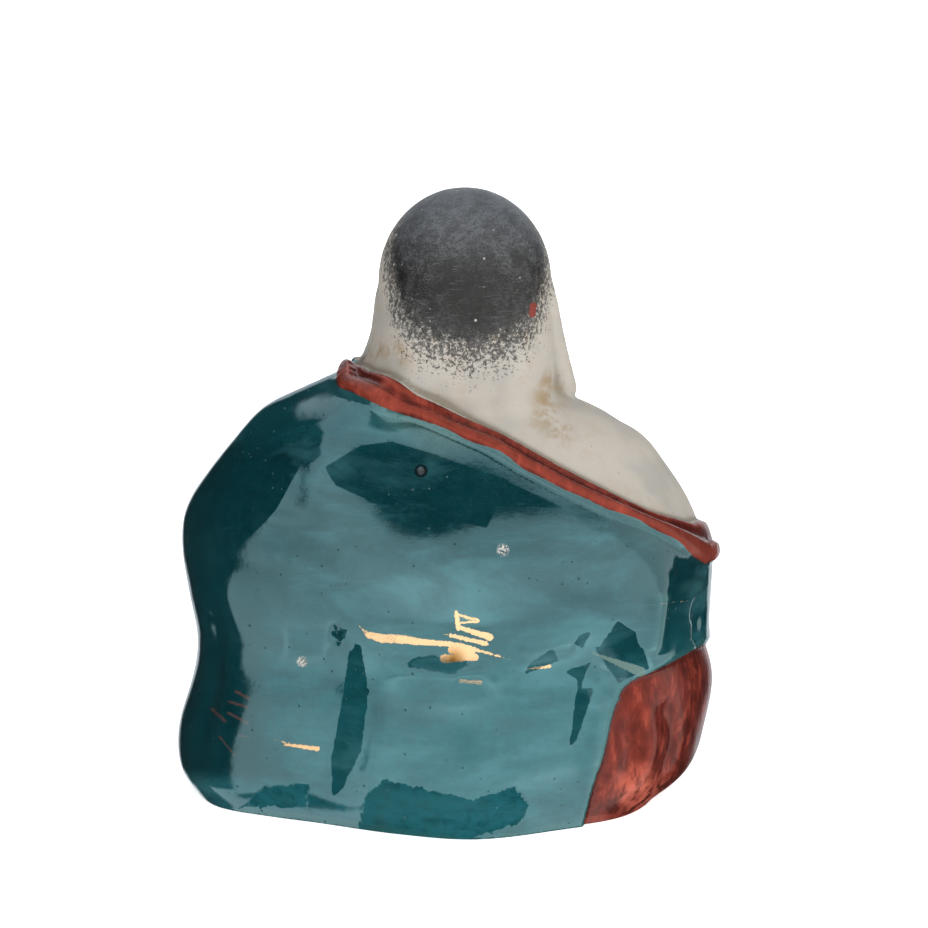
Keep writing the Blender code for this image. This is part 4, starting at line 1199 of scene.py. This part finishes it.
def facetNormal(tree, place, slight, facets):
    # the surface's normal, turned to one direction within each kind of facet
    wall = readFacets(tree, "wallFacets", slight, 0.10)
    normal = addNode(tree, "ShaderNodeNewGeometry").outputs["Normal"]
    calm = times(tree, readFacets(tree, "calmFacets", 0.0, 1.6), place["Behind"])
    normal = leanNormal(tree, normal, times(tree, calm, 0.8), teal["calmWay"])
    for facetName, way, edge in (("bladeFacets", "bladeWay", 0.3), ("flankFacets", "flankWay", 0.5)):
        broad = times(tree, readFacets(tree, facetName, 0.0, edge), place["Behind"])
        normal = leanNormal(tree, normal, broad, teal[way])
    normal = leanNormal(tree, normal, times(tree, wall, place["Behind"]), teal["wallWay"])
    return leanNormal(tree, normal, facets, teal["facetWay"])


def tealFinish():
    material, tree, shader = newFinish("tealGlaze", teal["shader"])
    place = useGroup(tree, figurePlace)
    ripple = useGroup(tree, glazeRipple, {"Place": place["Place"], "Pinholes": teal["pinholes"]})
    tone = remap(tree, ripple["Tone"], 0.36, 0.64)
    colour, mottle = glazeCoat(tree, place, tone)
    colour = thinBesideCollar(tree, place, colour)
    colour, pale, brownHeart = glazePits(tree, place, ripple, colour)
    colour, facets, slight = glazeFacets(tree, place, mottle, colour)
    # gilding
    ghost = times(tree, paintStrokes(tree, place["Back"], teal["ghostStrokes"]), place["Behind"])
    colour = layOver(tree, colour, teal["ghost"], ghost, 0.8)
    gold = times(tree, paintStrokes(tree, place["Back"], teal["goldStrokes"]), place["Behind"])
    deepGold = spotMask(tree, place["Back"], *teal["poolSpot"], 0.9)
    goldTone = mixTint(tree, deepGold, teal["gold"], teal["goldDeep"])
    colour = mixTint(tree, gold, colour, goldTone)
    tree.links.new(colour, shader.inputs["Base Color"])
    tree.links.new(gold, shader.inputs["Metallic"])
    # gold and pits are duller than the glaze
    rough = plus(tree, times(tree, tone, 0.03), teal["roughness"])
    rough = plus(tree, rough, times(tree, gold, 0.32))
    heartRough = times(tree, brownHeart, 0.35)
    pitted = maths(tree, "MAXIMUM", pale, maths(tree, "MAXIMUM", heartRough, ripple["Pits"]))
    rough = plus(tree, rough, times(tree, pitted, 0.4), clamp=True)
    tree.links.new(rough, shader.inputs["Roughness"])
    height = minus(tree, ripple["Height"], times(tree, pitted, 0.6))
    height = plus(tree, height, times(tree, gold, 0.12))
    addBump(tree, shader, height, 0.10, normal=facetNormal(tree, place, slight, facets))
    return material


# iron red enamel of the collar and the trousers, laid on with a broad brush
red = {
    "shader": {"IOR": 1.50, "Specular Tint": (1.0, 0.24, 0.18, 1.0)},
    "deep": (0.048, 0.008, 0.006, 1),
    "body": (0.130, 0.020, 0.013, 1),
    "light": (0.300, 0.060, 0.038, 1),
    # colour of the painted highlight on the trousers by the base
    "paintedHighlight": (0.42, 0.10, 0.065, 1),
    "pinhole": (0.02, 0.008, 0.006, 1),
    "pinholes": 0.22,
    "roughness": 0.15,
    # darker spots; the first is painted shade where the collar rolls at its right end
    "darkSpots": [((-28.2, 30.4), 2.6), ((7.8, 48.6), 1.5), ((-23.2, 7.7), 0.7)],
    # painted highlight on the trousers by the base
    "highlightSpot": ((-22.4, 1.3), 2.4),
}


def redFinish():
    material, tree, shader = newFinish("ironRedEnamel", red["shader"])
    place = useGroup(tree, figurePlace)
    ripple = useGroup(tree, glazeRipple, {"Place": place["Place"], "Pinholes": red["pinholes"]})
    turned = stretched(tree, place["Place"], (1.5, 1.1, 0.60), (0.0, 0.5, 0.0))
    bristle = noise(tree, turned, 0.50, 5.0, 0.62, 0.25)
    tone = plus(tree, times(tree, bristle, 0.7), times(tree, ripple["Tone"], 0.3))
    tone = remap(tree, tone, 0.38, 0.60)
    colour = mixTint(tree, tone, red["deep"], red["body"])
    worn = remap(tree, bristle, 0.52, 0.74)
    colour = layOver(tree, colour, red["light"], worn, 0.7)
    # darker at a few spots, with painted shade where the collar rolls at its right end, and a painted
    # highlight on the trousers by the base
    dark = largest(tree, [spotMask(tree, place["Back"], centre, radius, radius * 0.7)
                          for centre, radius in red["darkSpots"]])
    dark = times(tree, dark, place["Behind"])
    colour = layOver(tree, colour, red["deep"], dark, 0.75)
    # painted highlight on the trousers by the base
    paintedHighlight = times(tree, spotMask(tree, place["Back"], *red["highlightSpot"], 1.8), place["Behind"])
    paintedHighlight = times(tree, paintedHighlight, remap(tree, bristle, 0.34, 0.62))
    colour = mixTint(tree, paintedHighlight, colour, red["paintedHighlight"])
    # darker in the hollows, and lighter on the ridges as a painted highlight
    hollow = remap(tree, place["Cavity"], 0.03, 0.16)
    colour = layOver(tree, colour, red["deep"], hollow, 0.6)
    ridge = remap(tree, place["Cavity"], -0.03, -0.16)
    colour = layOver(tree, colour, red["light"], ridge, 0.3)
    colour = layOver(tree, colour, red["pinhole"], ripple["Pits"], 0.6)
    tree.links.new(colour, shader.inputs["Base Color"])
    rough = plus(tree, times(tree, bristle, 0.16), red["roughness"])
    tree.links.new(rough, shader.inputs["Roughness"])
    height = plus(tree, ripple["Height"], times(tree, bristle, 0.6))
    addBump(tree, shader, height, 0.10)
    return material


# bare bisque skin with the sponged hair, stains and the painted face
skin = {
    "shader": {"IOR": 1.5, "Specular IOR Level": 0.3},
    "pale": (0.395, 0.365, 0.325, 1),
    "warm": (0.375, 0.315, 0.250, 1),
    "cool": (0.315, 0.310, 0.285, 1),
    "hairDark": (0.004, 0.004, 0.004, 1),
    "hairGrey": (0.066, 0.067, 0.068, 1),
    # lighter, bluer grey of the painted sheen over the crown
    "hairSheen": (0.115, 0.125, 0.140, 1),
    "score": (0.16, 0.16, 0.16, 1),
    "nick": (0.40, 0.40, 0.38, 1),
    "stain": (0.255, 0.180, 0.090, 1),
    "grain": (0.30, 0.25, 0.18, 1),
    "hollow": (0.13, 0.105, 0.07, 1),
    "dirt": (0.05, 0.045, 0.035, 1),
    "red": (0.20, 0.035, 0.025, 1),
    "ink": (0.012, 0.011, 0.011, 1),
    "lips": (0.22, 0.035, 0.025, 1),
    "hairHeart": ((-3.4, 57.2), 4.2),
    "sheenHeights": (60.0, 69.0),
    "roughness": 0.50,
    "stains": [((-12.3, 43.6), 1.6), ((-12.6, 47.4), 1.3), ((6.9, 50.8), 0.8), ((-12.0, 45.6), 1.2),
               ((-13.4, 41.8), 1.4), ((5.0, 50.5), 1.2)],
    "redDab": [((-10.5, 56.0), (-10.4, 55.1), 0.40, 0.36, 0.0)],
    "faceInk": [((-0.9, 59.6), (1.0, 60.2), 0.20, 0.24, 0.1), ((1.0, 60.2), (3.2, 59.5), 0.24, 0.16, 0.1),
                ((-5.6, 59.6), (-7.4, 60.0), 0.20, 0.24, 0.1), ((-7.4, 60.0), (-9.0, 59.2), 0.24, 0.16, 0.1),
                ((-0.5, 57.5), (1.2, 57.0), 0.14, 0.16, 0.0), ((1.2, 57.0), (2.8, 57.5), 0.16, 0.12, 0.0),
                ((-8.0, 57.5), (-6.6, 57.0), 0.14, 0.16, 0.0), ((-6.6, 57.0), (-5.0, 57.6), 0.16, 0.12, 0.0)],
    "lipPaint": [((-3.1, 52.5), (-1.3, 52.2), 0.20, 0.42, 0.1), ((-1.3, 52.2), (0.5, 52.5), 0.42, 0.20, 0.1)],
}


def spongedHair(tree, place, colour):
    # a grey cap that breaks into loose specks at its edge
    hairSide = meshField(tree, "hairSide")
    stretch = stretched(tree, place["Place"], (0.55, 0.55, 1.5))
    swirl = noise(tree, stretch, 1.3, 6.0, 0.78, 2.2)
    dabs = noise(tree, place["Place"], 5.0, 4.0, 0.8)
    loose = noise(tree, place["Place"], 1.3, 3.0, 0.7)
    cover = plus(tree, hairSide, times(tree, minus(tree, loose, 0.5), 5.0))
    cover = plus(tree, cover, times(tree, minus(tree, dabs, 0.5), 7.0))
    cap = remap(tree, cover, -0.3, 0.9)
    spread = remap(tree, plus(tree, hairSide, times(tree, loose, 2.0)), -3.6, 0.8)
    crumbled = plus(tree, noise(tree, place["Place"], 2.3, 4.0, 0.8), times(tree, spread, 0.20))
    fleck = times(tree, remap(tree, crumbled, 0.655, 0.690), maths(tree, "GREATER_THAN", spread, 0.03))
    # streaked and in clumps, blackest at its heart, with a painted sheen of lighter, bluer grey over the
    # crown
    tone = remap(tree, plus(tree, times(tree, swirl, 0.42), times(tree, dabs, 0.58)), 0.41, 0.60)
    heart = spotMask(tree, place["Back"], *skin["hairHeart"], 3.0)
    clumps = remap(tree, noise(tree, place["Place"], 0.55, 4.0, 0.7, 0.6), 0.36, 0.60, 0.25, 1.0)
    tone = times(tree, tone, minus(tree, 1.0, times(tree, heart, 0.75)))
    tone = times(tree, tone, clumps)
    height = addNode(tree, "ShaderNodeSeparateXYZ", {0: place["Place"]}).outputs[2]
    # painted sheen over the crown, growing with height
    crown = remap(tree, height, *skin["sheenHeights"])
    tone = plus(tree, tone, times(tree, crown, 0.45), clamp=True)
    hairLight = mixTint(tree, crown, skin["hairGrey"], skin["hairSheen"])
    hairColour = mixTint(tree, tone, skin["hairDark"], hairLight)
    scored = stretched(tree, place["Place"], (0.35, 0.35, 4.5), (0.0, 0.6, 0.3))
    scores = remap(tree, noise(tree, scored, 1.6, 3.0, 0.6, 0.8), 0.63, 0.70)
    hairColour = layOver(tree, hairColour, skin["score"], scores, 0.45)
    nicks = spatterMask(tree, place["Place"], 1.0, 0.16, 0.13)
    hairColour = layOver(tree, hairColour, skin["nick"], nicks, 0.8)
    covered = maths(tree, "MAXIMUM", cap, times(tree, fleck, 0.85))
    return mixTint(tree, covered, colour, hairColour), cap, dabs


def skinFinish():
    material, tree, shader = newFinish("bareBisque", skin["shader"])
    place = useGroup(tree, figurePlace)
    slow = noise(tree, place["Place"], 0.10, 3.0)
    cloud = noise(tree, place["Place"], 0.5, 5.0, 0.65)
    grain = noise(tree, place["Place"], 7.0, 3.0, 0.7)
    colour = mixTint(tree, remap(tree, slow, 0.40, 0.62), skin["pale"], skin["cool"])
    colour = layOver(tree, colour, skin["warm"], remap(tree, cloud, 0.48, 0.70), 0.5)
    colour = layOver(tree, colour, skin["grain"], remap(tree, grain, 0.55, 0.75), 0.16)
    hollow = remap(tree, place["Cavity"], 0.02, 0.20)
    colour = layOver(tree, colour, skin["hollow"], hollow, 0.75)
    stain = largest(tree, [spotMask(tree, place["Back"], centre, radius, radius * 0.95)
                           for centre, radius in skin["stains"]])
    stain = times(tree, times(tree, stain, place["Behind"]), remap(tree, cloud, 0.35, 0.62))
    colour = layOver(tree, colour, skin["stain"], stain, 0.9)
    dirt = spatterMask(tree, place["Place"], 1.3, 0.09, 0.10)
    colour = layOver(tree, colour, skin["dirt"], dirt, 0.7)
    colour, cap, dabs = spongedHair(tree, place, colour)
    dab = times(tree, paintStrokes(tree, place["Back"], skin["redDab"]), place["Behind"])
    colour = mixTint(tree, dab, colour, skin["red"])
    # painted face
    before = minus(tree, 1.0, place["Behind"])
    ink = times(tree, paintStrokes(tree, place["Front"], skin["faceInk"]), before)
    lips = times(tree, paintStrokes(tree, place["Front"], skin["lipPaint"]), before)
    colour = mixTint(tree, ink, colour, skin["ink"])
    colour = layOver(tree, colour, skin["lips"], lips, 0.85)
    tree.links.new(colour, shader.inputs["Base Color"])
    rough = minus(tree, plus(tree, times(tree, grain, 0.2), skin["roughness"]), times(tree, cap, 0.22))
    tree.links.new(rough, shader.inputs["Roughness"])
    height = plus(tree, times(tree, grain, 0.35), times(tree, cloud, 0.6))
    height = plus(tree, height, times(tree, cap, times(tree, dabs, 0.5)))
    addBump(tree, shader, height, 0.10)
    return material


# unglazed clay under the foot
rawClay = {
    "shader": {"IOR": 1.5, "Specular IOR Level": 0.2},
    "clay": (0.50, 0.43, 0.34, 1),
    "grime": (0.20, 0.16, 0.11, 1),
    "speck": (0.09, 0.06, 0.04, 1),
}


def rawClayFinish():
    material, tree, shader = newFinish("rawClay", rawClay["shader"])
    place = useGroup(tree, figurePlace)
    cloud = noise(tree, place["Place"], 0.4, 5.0, 0.65)
    grain = noise(tree, place["Place"], 5.0, 4.0, 0.75)
    colour = mixTint(tree, remap(tree, cloud, 0.40, 0.66), rawClay["clay"], rawClay["grime"])
    specks = spatterMask(tree, place["Place"], 1.4, 0.14, 0.3)
    colour = layOver(tree, colour, rawClay["speck"], specks, 0.7)
    tree.links.new(colour, shader.inputs["Base Color"])
    tree.links.new(remap(tree, grain, 0.3, 0.7, 0.75, 0.95), shader.inputs["Roughness"])
    addBump(tree, shader, plus(tree, grain, cloud), 0.14)
    return material


for finish in (tealFinish(), redFinish(), skinFinish(), rawClayFinish()):
    figure.data.materials.append(finish)
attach(figure, "root")
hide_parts("hotei_figure")
print("finishes made")


# studio: light panels curved round the figure, and the pale table
studio = {
    "centre": (-2.0, 0.0, 36.0),
    "panelDistance": 1300.0,
    "world": 0.015,
    # azimuth from and to (0 is the camera's side, positive to the picture's right),
    # elevation from and to at either end, strength and colour
    "panels": {
        "floorSheet": (-56, 112, (-72, -50), (-72, -50), 1.60, (1.0, 0.99, 0.97)),
        "cornerSheet": (-78, -60, (-50, -24), (-50, -12), 1.60, (1.0, 0.99, 0.97)),
        "cornerEdge": (-85, -78, (-50, -46), (-50, -24), 1.55, (0.98, 0.99, 1.0)),
        "cornerFloor": (-92, -56, (-72, -62), (-72, -62), 1.50, (1.0, 0.99, 0.97)),
        "cornerSide": (-115, -92, (-72, -34), (-72, -42), 1.45, (0.97, 0.98, 1.0)),
        "cornerStrip": (-92, -85, (-50, -42), (-50, -44), 1.50, (0.97, 0.98, 1.0)),
        "frontLow": (-60, 74, (-50, -6), (-50, -6), 1.80, (1.0, 0.99, 0.97)),
        "frontMiddle": (-60, 74, (-6, 24), (-6, 24), 2.00, (1.0, 0.99, 0.97)),
        "frontHigh": (-60, 74, (24, 44), (24, 44), 1.80, (1.0, 0.99, 0.97)),
        "sideSheet": (74, 112, (-50, 44), (-50, 44), 1.35, (1.0, 0.98, 0.95)),
        "browCorner": (-78, -60, (40, 49), (30, 74), 1.60, (0.98, 0.99, 1.0)),
        "browLeft": (-60, -32, (44, 74), (44, 74), 1.80, (1.0, 0.99, 0.97)),
        "browWedge": (-32, -5, (50, 74), (62, 74), 1.80, (1.0, 0.99, 0.97)),
        "browUnder": (-32, -5, (44, 44.2), (44, 46.5), 1.80, (1.0, 0.99, 0.97)),
        "browMiddle": (-5, 30, (44, 47.5), (44, 53), 1.80, (1.0, 0.99, 0.97)),
        "browRight": (30, 66, (44, 53), (44, 45), 1.80, (1.0, 0.99, 0.97)),
        "crestMiddle": (-5, 30, (65, 74), (60, 74), 1.80, (0.98, 0.99, 1.0)),
        "crestRight": (30, 66, (60, 74), (46, 74), 1.80, (0.98, 0.99, 1.0)),
        "crestEnd": (66, 112, (46, 74), (44, 74), 1.50, (0.98, 0.99, 1.0)),
        "shoulderSheet": (-120, -60, (54, 74), (48, 74), 1.70, (0.95, 0.97, 1.0)),
        "rimSheet": (-175, -120, (26, 74), (54, 74), 1.50, (0.90, 0.95, 1.0)),
        "topSheet": (-180, 180, (74, 89), (74, 89), 1.60, (0.97, 0.98, 1.0)),
        "farSheet": (150, 180, (-20, 34), (-20, 34), 1.0, (0.90, 0.95, 1.0)),
        "farSheetLeft": (-180, -160, (-24, 24), (-24, 24), 0.90, (0.86, 0.93, 1.0)),
    },
    # where the sheets are a little brighter or dimmer: azimuth, elevation, reach of each, amount
    "unevenness": [
        (60, -35, 16, 9, 0.55), (-48, 12, 13, 17, -0.45), (0, 4, 22, 8, 0.30), (5, -11, 16, 5, -0.30),
        (-56, -15, 12, 8, -0.22), (-45, -41, 10, 7, 0.35), (22, 37, 16, 8, -0.22), (45, 0, 12, 6, -0.25),
    ],
    # from and to which elevation the sheets grow dimmer, and by how much
    "highFade": (34.0, 50.0, 0.18),
    "panelSteps": 24,
    "floorSize": 6000.0,
    "floorColour": (0.86, 0.86, 0.86, 1),
    # the table's glow grows from the first share to the second between two distances in metres
    "floorGlow": (0.75, 1.0),
    "floorGlowReach": (0.20, 0.75),
}


def emissiveFinish(name, colour, strength):
    return newFinish(name, {"Base Color": (0, 0, 0, 1), "Specular IOR Level": 0.0, "Roughness": 1.0,
                            "Emission Color": (*colour, 1), "Emission Strength": strength})


def stageObject(name, mesh, material):
    mesh.materials.append(material)
    holder = bpy.data.objects.new(name, mesh)
    bpy.context.scene.collection.objects.link(holder)
    return holder


def panelGlow(az, el):
    # how bright a sheet is at one place: a few soft spots, and dimmer high up
    spots = sum(amount * math.exp(-((az - spotAz) / reachAz) ** 2 - ((el - spotEl) / reachEl) ** 2)
                for spotAz, spotEl, reachAz, reachEl, amount in studio["unevenness"])
    low, high, drop = studio["highFade"]
    return 1.0 + spots - drop * float(smoothStep(low, high, np.array(el)))


def curvedPanel(name, azFrom, azTo, startEdges, endEdges, strength, colour):
    steps = studio["panelSteps"]
    glows = []
    sheet = bmesh.new()
    rows = []
    for share in np.linspace(0, 1, steps):
        row = []
        leftEl = startEdges[0] + (startEdges[1] - startEdges[0]) * share
        rightEl = endEdges[0] + (endEdges[1] - endEdges[0]) * share
        turns = np.radians(np.linspace(azFrom, azTo, steps))
        tilts = np.radians(np.linspace(leftEl, rightEl, steps))
        for az, el in zip(turns, tilts):
            way = Vector((-math.sin(az) * math.cos(el), math.cos(az) * math.cos(el), math.sin(el)))
            row.append(sheet.verts.new((Vector(studio["centre"]) + way * studio["panelDistance"]) * mm))
            glow = panelGlow(math.degrees(az), math.degrees(el))
            glows += [channel * glow for channel in colour] + [1.0]
        rows.append(row)
    for lower, upper in zip(rows, rows[1:]):
        for i in range(steps - 1):
            sheet.faces.new((lower[i], lower[i + 1], upper[i + 1], upper[i]))
    mesh = bpy.data.meshes.new(name)
    sheet.to_mesh(mesh)
    sheet.free()
    mesh.attributes.new("glow", "FLOAT_COLOR", "POINT").data.foreach_set("color", glows)
    material, tree, shader = emissiveFinish(name + "Glow", colour, strength)
    glow = addNode(tree, "ShaderNodeAttribute", attribute_name="glow").outputs["Color"]
    tree.links.new(glow, shader.inputs["Emission Color"])
    panel = stageObject(name, mesh, material)
    panel.visible_camera = False
    return panel


def layFloor(name, halfSize, height, material):
    mesh = bpy.data.meshes.new(name)
    corners = [(-halfSize, -halfSize, height), (halfSize, -halfSize, height),
               (halfSize, halfSize, height), (-halfSize, halfSize, height)]
    mesh.from_pydata([Vector(c) * mm for c in corners], [], [(0, 1, 2, 3)])
    return stageObject(name, mesh, material)


def buildStudio():
    for name, values in studio["panels"].items():
        curvedPanel(name, *values)
    table, tree, shader = newFinish("paleTable", {"Roughness": 0.6, "Emission Strength": 1.0,
                                                  "Base Color": studio["floorColour"]})
    coords = addNode(tree, "ShaderNodeTexCoord").outputs["Object"]
    reach = vectorMaths(tree, "LENGTH", coords).outputs["Value"]
    glow = remap(tree, reach, *studio["floorGlowReach"], *studio["floorGlow"])
    pale = addNode(tree, "ShaderNodeCombineColor", {0: glow, 1: glow, 2: glow}).outputs[0]
    tree.links.new(pale, shader.inputs["Emission Color"])
    floor = layFloor("floor", studio["floorSize"] / 2, 0.0, table)
    floor.visible_glossy = False
    # a white room that only the camera sees
    room = bmesh.new()
    bmesh.ops.create_icosphere(room, subdivisions=3, radius=studio["floorSize"] / 2 * mm)
    mesh = bpy.data.meshes.new("backdrop")
    room.to_mesh(mesh)
    room.free()
    backdrop = stageObject("backdrop", mesh, emissiveFinish("backdropWhite", (1, 1, 1), 1.0)[0])
    for flag in ("visible_diffuse", "visible_glossy", "visible_transmission", "visible_shadow"):
        setattr(backdrop, flag, False)
    world = bpy.data.worlds.new("studioDark")
    world.use_nodes = True
    world.node_tree.nodes["Background"].inputs[0].default_value = (1, 1, 1, 1)
    world.node_tree.nodes["Background"].inputs[1].default_value = studio["world"]
    bpy.context.scene.world = world


buildStudio()
bpy.context.scene.view_settings.view_transform = "Standard"
print("studio set")
